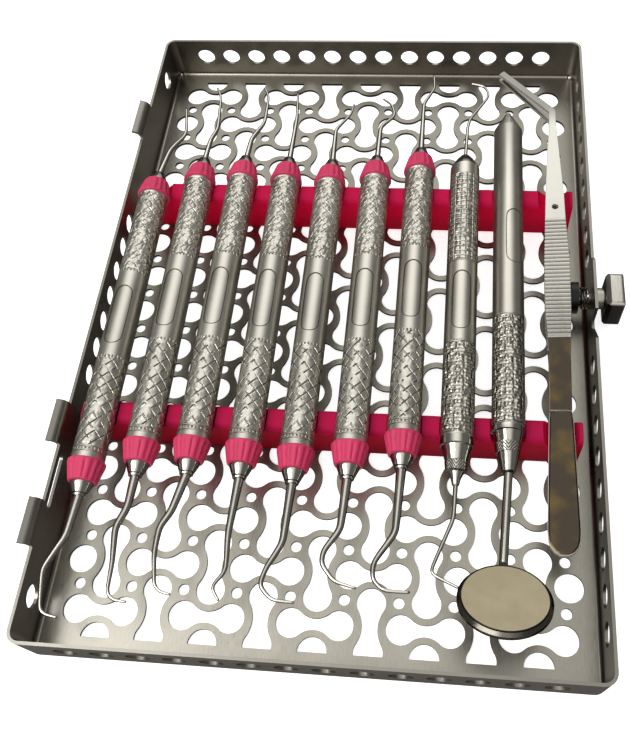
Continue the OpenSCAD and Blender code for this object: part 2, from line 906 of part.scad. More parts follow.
// Outline of the upper arm seen from its side
module arm_side() {
    start = joint_rear + arm_gap;
    polygon([[start, 0.2], [start, 0.2 + arm_t], [grip_front, arm_spread],
        [grip_rear, arm_spread], [bend_y, bend_spread], [tip_y, tip_spread],
        [tip_y, tip_spread - tip_t], [bend_y, bend_spread - arm_t],
        [grip_rear, arm_spread - arm_t], [grip_front, arm_spread - arm_t]]);
}

// The plan's outline through the whole height, kept to one arm's side outline
module arm_solid() {
    intersection() {
        translate([0, 0, -10])
            linear_extrude(20)
                tweezer_plan();
        rotate([90, 0, 90])
            linear_extrude(60, center = true)
                arm_side();
    }
}

module tweezer_joint() {
    color(polished)
        in_tweezer_frame()
            intersection() {
                translate([0, 0, -10])
                    linear_extrude(20)
                        tweezer_plan();
                translate([-10, joint_front, -1.3])
                    cube([20, joint_rear - joint_front, 2.6]);
            }
}

pin_x = -0.2;
pin_y = 66.2;
pin_drop = 0.7;

module tweezer_upper_arm() {
    color(polished)
        in_tweezer_frame()
            difference() {
                arm_solid();
                translate([pin_x, pin_y, 0])
                    cylinder(h = 10, r = pin_hole_r);
            }
}

module tweezer_lower_arm() {
    color(polished)
        in_tweezer_frame() {
            mirror([0, 0, 1])
                arm_solid();
            // The lower strip runs on into the joint without a gap
            intersection() {
                translate([0, 0, -10])
                    linear_extrude(20)
                        tweezer_plan();
                translate([-10, joint_rear, -1.3])
                    cube([20, 2 * arm_gap, arm_t]);
            }
        }
}

module tweezer_pin() {
    color(polished)
        in_tweezer_frame()
            translate([pin_x, pin_y, arm_t - arm_spread])
                cylinder(h = 2 * arm_spread - arm_t - pin_drop, r = pin_r);
}

tray_floor();
front_wall();
rear_wall();
left_wall();
right_wall();
front_rail();
rear_rail();
latch_collar();
latch_knob();
latch_shaft();
latch_disc();
latch_spring();
for (i = SCALERS) {
    scaler_handle(i);
    scaler_grip(i, true);
    scaler_grip(i, false);
    scaler_tip(i, true);
    scaler_tip(i, false);
}
explorer_handle();
explorer_tip(true);  // explorer_rear_tip
explorer_tip(false);  // explorer_front_tip
mirror_handle();
mirror_stem();
mirror_cup();
mirror_glass();
tweezer_joint();
tweezer_upper_arm();
tweezer_lower_arm();
tweezer_pin();
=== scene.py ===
"""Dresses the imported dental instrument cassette: its sheet steel, silicone rails and latch, the
scalers with ribbed grips and swept ends, the explorer, the mouth mirror and the tweezers."""

import logging
import math
from dataclasses import dataclass
from enum import Enum
from typing import Sequence

import bpy
from mathutils import Matrix, Vector


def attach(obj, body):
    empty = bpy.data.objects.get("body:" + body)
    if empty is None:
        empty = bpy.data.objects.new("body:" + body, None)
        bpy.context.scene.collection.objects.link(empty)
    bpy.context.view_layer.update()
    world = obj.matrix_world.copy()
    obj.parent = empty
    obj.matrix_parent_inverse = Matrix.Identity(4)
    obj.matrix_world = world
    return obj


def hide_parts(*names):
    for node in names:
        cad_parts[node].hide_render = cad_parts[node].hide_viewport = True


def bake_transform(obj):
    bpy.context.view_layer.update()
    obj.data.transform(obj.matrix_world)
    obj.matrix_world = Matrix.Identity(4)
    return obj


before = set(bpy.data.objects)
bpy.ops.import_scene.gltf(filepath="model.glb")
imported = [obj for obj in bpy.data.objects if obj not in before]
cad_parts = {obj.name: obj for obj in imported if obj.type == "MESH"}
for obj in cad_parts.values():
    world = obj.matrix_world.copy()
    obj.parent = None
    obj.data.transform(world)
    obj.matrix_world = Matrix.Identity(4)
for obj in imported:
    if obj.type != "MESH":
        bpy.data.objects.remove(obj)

MM = 0.001
LOG = logging.getLogger("cassette")

CURVE_STEPS = 4
ROUND_STEPS = 2
WELD = 0.01
FLAT = 2
CREASE = 30
TURNED_CREASE = 28
SHARP = 50

Pair = tuple[float, float]
Route = tuple[Pair, ...]
Point = tuple[float, float, float]
Colour = tuple[float, float, float]
Piece = bpy.types.Object
Material = bpy.types.Material
Tree = bpy.types.NodeTree
Socket = bpy.types.NodeSocket


class End(Enum):
    """The two ends of an instrument, as steps along Y."""

    REAR = 1
    FRONT = -1


# Modelling moves, with sizes in millimetres and angles in degrees


def deselect() -> None:
    """Leaves nothing selected."""
    bpy.ops.object.select_all(action="DESELECT")


def pick(piece: Piece) -> None:
    """Makes one piece the only selected and the active one."""
    deselect()
    piece.select_set(True)
    bpy.context.view_layer.objects.active = piece


def smooth(piece: Piece, angle: float) -> None:
    """Shades a piece smooth, with edges sharper than the angle left crisp."""
    pick(piece)
    bpy.ops.object.shade_smooth_by_angle(angle=math.radians(angle))


def lathe(name: str, stations: Route, sides: int) -> Piece:
    """Draws a closed round piece along +Z by extruding a disc ring by ring.

    Args:
        name: The piece's name.
        stations: Height and radius of each ring.
        sides: Vertices round the piece.

    Returns:
        The new piece, with its axis through the origin.
    """
    deselect()
    height, radius = stations[0]
    bpy.ops.mesh.primitive_circle_add(
        vertices=sides, radius=radius * MM, fill_type="NGON", location=(0, 0, height * MM)
    )
    piece = bpy.context.object
    piece.name = name
    piece.data.name = name
    bpy.ops.object.transform_apply(location=True, rotation=True, scale=True)
    bpy.ops.object.mode_set(mode="EDIT")
    bpy.ops.mesh.select_all(action="SELECT")
    for next_height, next_radius in stations[1:]:
        bpy.ops.mesh.extrude_region_move(
            TRANSFORM_OT_translate={"value": (0, 0, (next_height - height) * MM)}
        )
        share = next_radius / radius
        bpy.ops.transform.resize(value=(share, share, 1), center_override=(0, 0, next_height * MM))
        height, radius = next_height, next_radius
    bpy.ops.mesh.select_all(action="SELECT")
    bpy.ops.mesh.normals_make_consistent(inside=False)
    bpy.ops.object.mode_set(mode="OBJECT")
    return piece


def swept(name: str, points: Sequence[Point], radii: Sequence[float], cyclic: bool = False) -> Piece:
    """Draws a smooth round rod along a curve and makes it a mesh.

    Args:
        name: The piece's name.
        points: Places that the rod passes.
        radii: Radius of the rod at each place.
        cyclic: Whether the rod closes on itself.

    Returns:
        The new piece.
    """
    deselect()
    bpy.ops.curve.primitive_bezier_curve_add()
    rod = bpy.context.object
    rod.name = name
    curve = rod.data
    curve.dimensions = "3D"
    spline = curve.splines[0]
    spline.bezier_points.add(len(points) - len(spline.bezier_points))
    for knot, place, radius in zip(spline.bezier_points, points, radii):
        knot.co = Vector(place) * MM
        knot.handle_left_type = "AUTO"
        knot.handle_right_type = "AUTO"
        knot.radius = radius
    spline.use_cyclic_u = cyclic
    spline.resolution_u = CURVE_STEPS
    curve.bevel_depth = MM
    curve.bevel_resolution = ROUND_STEPS
    curve.use_fill_caps = not cyclic
    bpy.ops.object.convert(target="MESH")
    rod = bpy.context.object
    rod.data.name = name
    bpy.ops.object.shade_smooth()
    return rod


def move(piece: Piece, matrix: Matrix) -> None:
    """Moves a piece's mesh by a matrix and leaves its object at the origin."""
    piece.data.transform(matrix)
    piece.data.update()


def copied(source: Piece, name: str) -> Piece:
    """Copies a piece together with its mesh.

    Args:
        source: The piece to copy.
        name: The copy's name.

    Returns:
        The copy.
    """
    piece = source.copy()
    piece.data = source.data.copy()
    piece.name = name
    piece.data.name = name
    bpy.context.scene.collection.objects.link(piece)
    return piece


def merged(node: str) -> Piece:
    """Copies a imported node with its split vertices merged, so that it shades smoothly.

    Args:
        node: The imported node's name.

    Returns:
        The copy, in the same place.
    """
    piece = copied(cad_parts[node], f"{node}_smooth")
    piece.parent = None
    pick(piece)
    bpy.ops.mesh.customdata_custom_splitnormals_clear()
    bpy.ops.object.mode_set(mode="EDIT")
    bpy.ops.mesh.select_all(action="SELECT")
    bpy.ops.mesh.remove_doubles(threshold=WELD * MM)
    bpy.ops.mesh.dissolve_limited(angle_limit=math.radians(FLAT))
    bpy.ops.object.mode_set(mode="OBJECT")
    smooth(piece, CREASE)
    return piece


def eased(node: str, width: float, steps: int) -> Piece:
    """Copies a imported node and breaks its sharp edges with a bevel.

    Args:
        node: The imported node's name.
        width: Width of the bevel.
        steps: Faces across the bevel.

    Returns:
        The copy, in the same place.
    """
    piece = merged(node)
    bevel = piece.modifiers.new("edges", "BEVEL")
    bevel.width = width * MM
    bevel.segments = steps
    bevel.limit_method = "ANGLE"
    bevel.angle_limit = math.radians(SHARP)
    bpy.ops.object.modifier_apply(modifier="edges")
    smooth(piece, CREASE)
    return piece


def along_y(x: float, y: float, z: float, end: End) -> Matrix:
    """Turns +Z to the rear or to the front and moves it to a point in millimetres."""
    turn = Matrix.Rotation(math.radians(-90 * end.value), 4, "X")
    return Matrix.Translation(Vector((x, y, z)) * MM) @ turn


# Shader groups


class Weave:
    """Builds node trees: a thin layer over links, sockets and math nodes."""

    def __init__(self, tree: Tree) -> None:
        """Keeps the tree that nodes are added to."""
        self.tree = tree

    def put(self, socket: Socket, value: object) -> None:
        """Links a socket to another one, or sets its value.

        Args:
            socket: The socket to fill.
            value: The other socket, or a number, a vector or a colour.
        """
        if isinstance(value, Socket):
            self.tree.links.new(value, socket)
        else:
            socket.default_value = value

    def fill(self, node: bpy.types.Node, **sockets: object) -> None:
        """Fills or links a node's named sockets."""
        for name, value in sockets.items():
            self.put(node.inputs[name.replace("_", " ")], value)

    def add(self, kind: str, **sockets: object) -> bpy.types.Node:
        """Adds a node and fills or links its named sockets.

        Args:
            kind: The node's type.
            sockets: A value or another socket for each named input.

        Returns:
            The new node.
        """
        node = self.tree.nodes.new(kind)
        self.fill(node, **sockets)
        return node

    def group(self, tree: Tree, **sockets: object) -> Socket:
        """Places a shader group.

        Args:
            tree: The group.
            sockets: A value or another socket for each named input.

        Returns:
            The group's result.
        """
        node = self.tree.nodes.new("ShaderNodeGroup")
        node.node_tree = tree
        self.fill(node, **sockets)
        return node.outputs[0]

    def math(self, operation: str, *values: object) -> Socket:
        """Adds a math node.

        Args:
            operation: The node's operation.
            values: Sockets or numbers to work on.

        Returns:
            The result.
        """
        node = self.tree.nodes.new("ShaderNodeMath")
        node.operation = operation
        for socket, value in zip(node.inputs, values):
            self.put(socket, value)
        return node.outputs[0]

    def ramp(
        self, value: object, low: object, high: object, to_low: float = 0.0, to_high: float = 1.0
    ) -> Socket:
        """Maps a value smoothly from one range to another and clamps it.

        Args:
            value: What is mapped.
            low: Where the first range starts.
            high: Where the first range ends.
            to_low: The result at the start.
            to_high: The result at the end.

        Returns:
            The mapped value.
        """
        node = self.add(
            "ShaderNodeMapRange", Value=value, From_Min=low, From_Max=high, To_Min=to_low, To_Max=to_high
        )
        node.interpolation_type = "SMOOTHSTEP"
        return node.outputs["Result"]

    def fade(self, value: Socket, ends: Pair) -> Socket:
        """Rises from zero to one between two places in millimetres."""
        return self.ramp(value, ends[0] * MM, ends[1] * MM)

    def mix(self, share: object, first: object, second: object) -> Socket:
        """Mixes two colours.

        Args:
            share: How much of the second colour is seen.
            first: The colour at a share of zero.
            second: The colour at a share of one.

        Returns:
            The mixed colour.
        """
        node = self.tree.nodes.new("ShaderNodeMix")
        node.data_type = "RGBA"
        self.put(node.inputs["Factor"], share)
        self.put(node.inputs[6], first)
        self.put(node.inputs[7], second)
        return node.outputs[2]

    def tint(self, colour: Socket, share: float) -> Socket:
        """Dims a colour.

        Args:
            colour: The colour.
            share: How much of it is left.

        Returns:
            The dimmed colour.
        """
        node = self.add("ShaderNodeVectorMath")
        node.operation = "SCALE"
        self.put(node.inputs[0], colour)
        self.put(node.inputs["Scale"], share)
        return node.outputs[0]

    def split(self, vector: Socket) -> Sequence[Socket]:
        """Splits a vector into its three parts."""
        return self.add("ShaderNodeSeparateXYZ", Vector=vector).outputs

    def noise(self, vector: Socket, scale: object, detail: float) -> Socket:
        """Adds a noise texture and returns its value."""
        return self.add("ShaderNodeTexNoise", Vector=vector, Scale=scale, Detail=detail).outputs[0]

    def facing_up(self, low: float, high: float) -> Socket:
        """Masks the faces that look upwards, or all others where low is above high."""
        return self.ramp(self.split(self.add("ShaderNodeNewGeometry").outputs["Normal"])[2], low, high)


class Groups:
    """The shader groups that several finishes share, each built once."""

    BLOTCH_SHARE = 0.6
    PATCHES_PER_METRE = 520.0
    PATCH_SOFT = 0.06
    FULL_TURNS = 100.0

    def __init__(self) -> None:
        """Builds the groups."""
        self.mottle = self.build_mottle()
        self.grooves = self.build_grooves()
        self.band = self.build_band()

    @staticmethod
    def start(name: str, inputs: Sequence[str], output: str) -> tuple[Weave, Sequence[Socket], Socket]:
        """Opens a group with one value output.

        Args:
            name: The group's name.
            inputs: Names of the inputs, of which Vector is a vector and any other one a value.
            output: Name of the output.

        Returns:
            The weave of the group, its inputs and the socket that takes its result.
        """
        tree = bpy.data.node_groups.new(name, "ShaderNodeTree")
        for label in inputs:
            kind = "NodeSocketVector" if label == "Vector" else "NodeSocketFloat"
            tree.interface.new_socket(name=label, in_out="INPUT", socket_type=kind)
        tree.interface.new_socket(name=output, in_out="OUTPUT", socket_type="NodeSocketFloat")
        given = tree.nodes.new("NodeGroupInput").outputs
        result = tree.nodes.new("NodeGroupOutput").inputs[0]
        return Weave(tree), [given[label] for label in inputs], result

    def build_mottle(self) -> Tree:
        """Builds soft blotches with a fine grain over them, for worn and satin surfaces."""
        weave, given, result = self.start("mottle", ("Vector", "Blotch", "Grain"), "Value")
        vector, blotch, grain = given
        soft = weave.math("MULTIPLY", weave.noise(vector, blotch, 3.0), self.BLOTCH_SHARE)
        fine = weave.math("MULTIPLY", weave.noise(vector, grain, 2.0), 1 - self.BLOTCH_SHARE)
        weave.put(result, weave.math("ADD", soft, fine))
        return weave.tree

    def build_band(self) -> Tree:
        """Builds a mask that is one between two values and falls off softly outside them."""
        weave, given, result = self.start("band", ("Value", "Low", "High", "Soft"), "Mask")
        value, low, high, soft = given
        rise = weave.ramp(value, weave.math("SUBTRACT", low, soft), weave.math("ADD", low, soft))
        fall = weave.ramp(value, weave.math("SUBTRACT", high, soft), weave.math("ADD", high, soft))
        weave.put(result, weave.math("MULTIPLY", rise, weave.math("SUBTRACT", 1.0, fall)))
        return weave.tree

    def build_grooves(self) -> Tree:
        """Builds a mask of lines round an axis along Y, wound or folded into chevrons."""
        names = ("Vector", "Around", "Along", "Folds", "Chevron", "Width", "Broken")
        weave, given, result = self.start("grooves", names, "Groove")
        vector, around, along, folds, chevron, width, broken = given
        x, y, z = weave.split(vector)
        turn = weave.math("DIVIDE", weave.math("ARCTAN2", x, z), 2 * math.pi)
        sector = weave.math("FRACT", weave.math("MULTIPLY", turn, folds))
        fold = weave.math("ABSOLUTE", weave.math("SUBTRACT", sector, 0.5))
        wound = weave.math("MULTIPLY_ADD", turn, around, weave.math("MULTIPLY", fold, chevron))
        wound = weave.math("ADD", wound, self.FULL_TURNS)
        phase = weave.math("FRACT", weave.math("MULTIPLY_ADD", y, along, wound))
        line = weave.ramp(weave.math("ABSOLUTE", weave.math("SUBTRACT", phase, 0.5)), width, 0.0)
        patches = weave.noise(vector, self.PATCHES_PER_METRE, 1.0)
        kept = weave.ramp(patches, broken, weave.math("ADD", broken, self.PATCH_SOFT))
        weave.put(result, weave.math("MULTIPLY", line, kept))
        return weave.tree


# Finishes


@dataclass
class Canvas:
    """A surface in the making: what it is drawn with, and its colour, height and roughness."""

    weave: Weave
    groups: Groups
    place: Socket
    colour: Socket
    height: Socket
    rough: Socket

    def band(self, value: Socket, low: float, high: float, soft: float = 0.1) -> Socket:
        """Masks what lies between two places in millimetres."""
        return self.weave.group(self.groups.band, Value=value, Low=low * MM, High=high * MM, Soft=soft * MM)

    def paint(self, mask: object, colour: Colour) -> None:
        """Lays a colour over what a mask shows."""
        self.colour = self.weave.mix(mask, self.colour, (*colour, 1))

    def dim(self, mask: Socket, share: float) -> None:
        """Dims the colour to a share of itself over what a mask shows."""
        self.colour = self.weave.mix(mask, self.colour, self.weave.tint(self.colour, share))

    def sink(self, mask: object, depth: float) -> None:
        """Cuts into the relief over what a mask shows."""
        self.height = self.weave.math("MULTIPLY_ADD", mask, -depth, self.height)

    def roughen(self, mask: object, amount: float) -> None:
        """Adds roughness over what a mask shows."""
        self.rough = self.weave.math("MULTIPLY_ADD", mask, amount, self.rough)


@dataclass(frozen=True)
class Zone:
    """A stretch of a handle with one family of cut lines, in millimetres along the tray."""

    low: float
    high: float
    around: float = 0.0
    along: float = 0.0
    width: float = 0.15
    # dark: how much painted shade is laid in the lines
    dark: float = 0.5
    deep: float = 1.0
    broken: float = 0.0
    folds: float = 1.0
    chevron: float = 0.0


@dataclass(frozen=True)
class Hammer:
    """A stretch of a handle that is hammered into small hollows, in millimetres along the tray."""

    low: float
    high: float
    per_metre: float
    deep: float


@dataclass(frozen=True)
class Finish:
    """A surface with blotches and grain in its colour, its gloss and its relief, with painted shade on its
    limbs and a painted glow where these are asked for.
    """

    name: str
    colour: Colour
    shade: Colour
    rough: Pair
    metallic: float = 1.0
    blotch: float = 60.0
    grain: float = 2600.0
    colour_spread: Pair = (0.35, 0.65)
    rough_spread: Pair = (0.3, 0.7)
    relief: float = 0.05
    relief_height: float = 0.2
    gloss: float = 0.5
    edge_tint: float = 1.0
    limb_painted_shade: float = 1.0
    limb_shade_spread: Pair = (0.2, 0.7)
    painted_glow: Colour = (0.0, 0.0, 0.0)
    stretch: Point = (1.0, 1.0, 1.0)

    def build(self, groups: Groups) -> Material:
        """Builds the material.

        Args:
            groups: The shared shader groups.

        Returns:
            The material, ready for a piece's slot.
        """
        material = bpy.data.materials.new(self.name)
        material.use_nodes = True
        weave = Weave(material.node_tree)
        bsdf = material.node_tree.nodes["Principled BSDF"]
        place = weave.add("ShaderNodeTexCoord").outputs["Object"]
        drawn = weave.add("ShaderNodeMapping", Vector=place, Scale=self.stretch).outputs[0]
        mottle = weave.group(groups.mottle, Vector=drawn, Blotch=self.blotch, Grain=self.grain)
        share = weave.ramp(mottle, *self.colour_spread)
        colour = weave.mix(share, (*self.shade, 1), (*self.colour, 1))
        height = weave.math("MULTIPLY", mottle, self.relief)
        rough = weave.ramp(mottle, *self.rough_spread, *self.rough)
        canvas = Canvas(weave, groups, place, colour, height, rough)
        self.detail(canvas)
        # Painted shade: the colour is dimmed where the surface turns away from the view, darkening the
        # limbs of round steel.
        if self.limb_painted_shade < 1.0:
            facing = weave.add("ShaderNodeLayerWeight", Blend=0.5).outputs["Facing"]
            canvas.dim(weave.ramp(facing, *self.limb_shade_spread), self.limb_painted_shade)
        weave.fill(bsdf, Base_Color=canvas.colour, Roughness=canvas.rough, Metallic=self.metallic)
        weave.fill(bsdf, Specular_IOR_Level=self.gloss, Specular_Tint=(*[self.edge_tint] * 3, 1))
        # Painted glow: the surface lights up by itself though it is no lamp.
        if any(self.painted_glow):
            weave.fill(bsdf, Emission_Color=(*self.painted_glow, 1), Emission_Strength=1.0)
        lift = self.relief_height * MM
        bump = weave.add("ShaderNodeBump", Height=canvas.height, Strength=1.0, Distance=lift)
        weave.fill(bsdf, Normal=bump.outputs["Normal"])
        return material

    def detail(self, canvas: Canvas) -> None:
        """Leaves a plain surface as it is."""


@dataclass(frozen=True)
class HandleFinish(Finish):
    """Handle steel with knurled and hammered stretches and turned rings, about its own axis, with painted
    shade laid in the cut lines.
    """

    axis: Pair = (0.0, 15.0)
    zones: tuple[Zone, ...] = ()
    rings: tuple[float, ...] = ()
    ring_half: float = 0.15
    ring_soft: float = 0.08
    hammered: tuple[Hammer, ...] = ()
    hollow: Pair = (0.0, 0.75)
    hammer_soft: float = 0.3
    groove_painted_shade: Colour = (0.05, 0.045, 0.035)
    polish: float = 0.1

    def detail(self, canvas: Canvas) -> None:
        """Adds hollows, and grooves that cut into the surface and catch the light, with painted shade laid
        in them.

        Args:
            canvas: The surface in the making.
        """
        weave = canvas.weave
        to_axis = (-self.axis[0] * MM, 0, -self.axis[1] * MM)
        centred = weave.add("ShaderNodeMapping", Vector=canvas.place, Location=to_axis).outputs[0]
        y = weave.split(centred)[1]
        groove: object = 0.0
        shade: object = 0.0
        for zone in self.zones:
            cut = weave.group(
                canvas.groups.grooves,
                Vector=centred,
                Around=zone.around,
                Along=zone.along / MM,
                Folds=zone.folds,
                Chevron=zone.chevron,
                Width=zone.width,
                Broken=zone.broken,
            )
            line = weave.math("MULTIPLY", cut, canvas.band(y, zone.low, zone.high))
            groove = weave.math("MAXIMUM", groove, weave.math("MULTIPLY", line, zone.deep))
            shade = weave.math("MAXIMUM", shade, weave.math("MULTIPLY", line, zone.dark))
        for patch in self.hammered:
            cells = weave.add("ShaderNodeTexVoronoi", Vector=centred, Scale=patch.per_metre).outputs[0]
            mask = canvas.band(y, patch.low, patch.high, self.hammer_soft)
            canvas.sink(weave.math("MULTIPLY", weave.ramp(cells, *self.hollow), mask), patch.deep)
        for ring in self.rings:
            mask = canvas.band(y, ring - self.ring_half, ring + self.ring_half, self.ring_soft)
            groove = weave.math("MAXIMUM", groove, mask)
        # Painted shade: the cut lines are darkened with a dark colour, as if shade lay in them.
        canvas.paint(shade, self.groove_painted_shade)
        canvas.sink(groove, 1.0)
        canvas.roughen(groove, -self.polish)


@dataclass(frozen=True)
class RailFinish(Finish):
    """Silicone with painted light on the posts' tops and painted shade towards the floor."""

    top_painted_light: Colour = (0.38, 0.008, 0.055)
    foot_painted_shade: Colour = (0.26, 0.0, 0.012)
    towards_foot: Pair = (8.0, 0.5)
    towards_top: Pair = (10.8, 13.8)

    def detail(self, canvas: Canvas) -> None:
        """Paints light and shade on the silicone by its height over the floor.

        Args:
            canvas: The surface in the making.
        """
        z = canvas.weave.split(canvas.place)[2]
        # Painted shade near the floor and painted light on the posts' tops.
        canvas.paint(canvas.weave.fade(z, self.towards_foot), self.foot_painted_shade)
        canvas.paint(canvas.weave.fade(z, self.towards_top), self.top_painted_light)


@dataclass(frozen=True)
class TopFinish(Finish):
    """Brushed steel with painted shade on its upright faces, and on its rear part too where that is asked
    for.
    """

    upright_painted_shade: Colour = (0.07, 0.062, 0.052)
    rear: float = 1.0
    towards_rear: Pair = (-10.0, 75.0)
    upright: Pair = (0.8, 0.4)

    def detail(self, canvas: Canvas) -> None:
        """Paints shade on the rear and the upright faces."""
        canvas.dim(canvas.weave.fade(canvas.weave.split(canvas.place)[1], self.towards_rear), self.rear)
        canvas.paint(canvas.weave.facing_up(*self.upright), self.upright_painted_shade)


@dataclass(frozen=True)
class WallFinish(Finish):
    """Sheet steel of a wall, with painted highlights on its rim, its upright corner seams and its fold over
    the floor, and a painted shadow on the right wall's front part.
    """

    painted_highlight: Colour = (0.245, 0.234, 0.207)
    corner_x: Pair = (67.8, 68.4)
    corner_y: Pair = (98.3, 98.9)
    level: Pair = (0.8, 0.95)
    above_floor: Pair = (4.0, 6.0)
    near_fold: Pair = (1.8, 0.8)
    fold_painted_highlight: float = 0.35
    right_wall: Pair = (67.0, 68.0)
    front_part: Pair = (35.0, 15.0)
    shadow: float = 0.32

    def detail(self, canvas: Canvas) -> None:
        """Paints a shadow on the right wall's front part and highlights on the rim, the corner seams and
        the fold.

        Args:
            canvas: The surface in the making.
        """
        weave = canvas.weave
        x, y, z = weave.split(canvas.place)
        corner_x = weave.fade(weave.math("ABSOLUTE", x), self.corner_x)
        corner_y = weave.fade(weave.math("ABSOLUTE", y), self.corner_y)
        painted_highlight = weave.math("MULTIPLY", corner_x, corner_y)
        rim = weave.math("MULTIPLY", weave.facing_up(*self.level), weave.fade(z, self.above_floor))
        fold = weave.math("MULTIPLY", weave.fade(z, self.near_fold), self.fold_painted_highlight)
        shaded = weave.math("MULTIPLY", weave.fade(x, self.right_wall), weave.fade(y, self.front_part))
        # Painted shadow on the right wall's front part.
        canvas.dim(shaded, self.shadow)
        # Painted highlights on the corner seams, the rim and the fold.
        canvas.paint(weave.math("MAXIMUM", weave.math("MAXIMUM", painted_highlight, rim), fold), self.painted_highlight)


@dataclass(frozen=True)
class TweezerFinish(Finish):
    """Polished strip steel with cross grooves on the grips with painted shade in them, painted reflections
    that darken the joint end and the tips, and painted highlights on its edges.
    """

    start_y: float = -38.5
    grooves: Pair = (24.35, 62.0)
    pitch: float = 1.235
    groove_flank: Pair = (0.4, 0.06)
    groove_shade: Colour = (0.12, 0.11, 0.09)
    groove_dark: float = 0.6
    groove_depth: float = 1.2
    tips: Pair = (96.0, 106.0)
    tips_painted_reflection: float = 0.45
    grip_front: Pair = (44.0, 25.0)
    grip_painted_reflection: float = 0.8
    joint_end: Pair = (24.3, 23.7)
    joint_top: Pair = (0.68, 0.84)
    joint_slant: Pair = (0.05, 0.25)
    clouds_per_metre: float = 120.0
    cloud_spread: Pair = (0.44, 0.72)
    joint_painted_reflection: Colour = (0.06, 0.048, 0.036)
    joint_amber_painted_reflection: Colour = (0.125, 0.088, 0.036)
    side: Pair = (0.85, 0.6)
    # rim: colour of the painted highlights on the edges
    rim: Colour = (0.9, 0.88, 0.82)
    rim_rough: float = 0.38
    slant_rough: float = 0.25

    def detail(self, canvas: Canvas) -> None:
        """Adds the grooves, the painted reflections and the painted highlights on the edges, by the
        distance from the tweezers' joint.

        Args:
            canvas: The surface in the making.
        """
        weave = canvas.weave
        y = weave.math("SUBTRACT", weave.split(canvas.place)[1], self.start_y * MM)
        phase = weave.math("FRACT", weave.math("DIVIDE", y, self.pitch * MM))
        off = weave.math("ABSOLUTE", weave.math("SUBTRACT", phase, 0.5))
        on_grip = canvas.band(y, *self.grooves, 0.05)
        groove = weave.math("MULTIPLY", weave.ramp(off, *self.groove_flank), on_grip)
        # Painted reflection: the tips and the part near the joint are dimmed.
        canvas.dim(weave.fade(y, self.tips), self.tips_painted_reflection)
        canvas.dim(weave.fade(y, self.grip_front), self.grip_painted_reflection)
        # Painted highlight: the side faces take a pale colour.
        side = weave.facing_up(*self.side)
        canvas.paint(side, self.rim)
        canvas.roughen(side, self.rim_rough)
        # Painted reflection: a dark amber cloud on the joint's top faces.
        on_joint = weave.fade(y, self.joint_end)
        joint = weave.math("MULTIPLY", on_joint, weave.facing_up(*self.joint_top))
        cloud = weave.ramp(weave.noise(canvas.place, self.clouds_per_metre, 3.0), *self.cloud_spread)
        painted_reflection = weave.mix(cloud, (*self.joint_painted_reflection, 1), (*self.joint_amber_painted_reflection, 1))
        canvas.colour = weave.mix(joint, canvas.colour, painted_reflection)
        # Painted highlight: the slanted faces at the joint end take the pale colour too.
        slanted = weave.math("MULTIPLY", weave.facing_up(*self.joint_slant), on_joint)
        slanted = weave.math("MULTIPLY", slanted, weave.math("SUBTRACT", 1.0, joint))
        canvas.paint(slanted, self.rim)
        canvas.roughen(slanted, self.slant_rough)
        canvas.paint(weave.math("MULTIPLY", groove, self.groove_dark), self.groove_shade)
        canvas.sink(groove, self.groove_depth)


SATIN = {"colour": (0.61, 0.59, 0.52), "shade": (0.51, 0.49, 0.43), "edge_tint": 0.5}
# BRIGHT paints shade on the limbs of polished round steel.
BRIGHT = {"colour": (0.58, 0.56, 0.50), "shade": (0.48, 0.46, 0.41), "relief": 0.01, "limb_painted_shade": 0.22}
SOFT = {"rough": (0.5, 0.65), "metallic": 0.0, "gloss": 0.04}

# Painted shade: the floor's rear part is dimmed and its upright faces take a dark colour.
FLOOR = TopFinish(
    "floor_steel",
    (0.345, 0.33, 0.284),
    (0.285, 0.272, 0.233),
    (0.26, 0.38),
    relief=0.004,
    stretch=(1.0, 0.14, 1.0),
    rear=0.7,
)
# Painted shade: the walls are the floor's sheet steel painted darker.
SHADED_WALL = WallFinish("wall_steel_painted_shade", (0.30, 0.28, 0.242), (0.22, 0.205, 0.175), (0.26, 0.38), relief=0.004)
FRONT_RAIL = RailFinish("front_rail_silicone", (0.46, 0.0, 0.024), (0.42, 0.0, 0.02), **SOFT)
# Painted light: the rear rail is the same silicone as the front one, painted brighter and with a painted
# glow.
LIT_REAR_RAIL = RailFinish(
    "rear_rail_silicone", (0.60, 0.0, 0.036), (0.56, 0.0, 0.03), painted_glow=(0.09, 0.0, 0.004), **SOFT
)
GRIP = Finish(
    "grip_silicone",
    (0.62, 0.045, 0.13),
    (0.54, 0.035, 0.105),
    (0.45, 0.62),
    metallic=0.0,
    relief=0.04,
    gloss=0.3,
)
POLISHED = Finish("polished_steel", rough=(0.06, 0.16), **BRIGHT)
COLLAR = Finish("collar_steel", (0.42, 0.405, 0.36), (0.34, 0.325, 0.285), (0.22, 0.34), relief=0.02)
# Painted shade on the knob's upright faces.
KNOB = TopFinish(
    "knob_steel",
    (0.56, 0.54, 0.485),
    (0.40, 0.385, 0.34),
    (0.24, 0.36),
    relief=0.01,
    upright_painted_shade=(0.085, 0.083, 0.07),
    stretch=(1.0, 0.12, 1.0),
)
DISC = Finish(
    "disc_plastic", (0.01, 0.01, 0.009), (0.004, 0.004, 0.004), (0.2, 0.34), metallic=0.0, gloss=0.25
)
SILVER = Finish(
    "mirror_silver", (0.50, 0.43, 0.28), (0.44, 0.38, 0.245), (0.1, 0.16), grain=300.0, relief=0.0
)
CUP = Finish(
    "cup_steel", (0.19, 0.175, 0.145), (0.13, 0.12, 0.10), (0.16, 0.26), relief=0.0, edge_tint=0.15
)
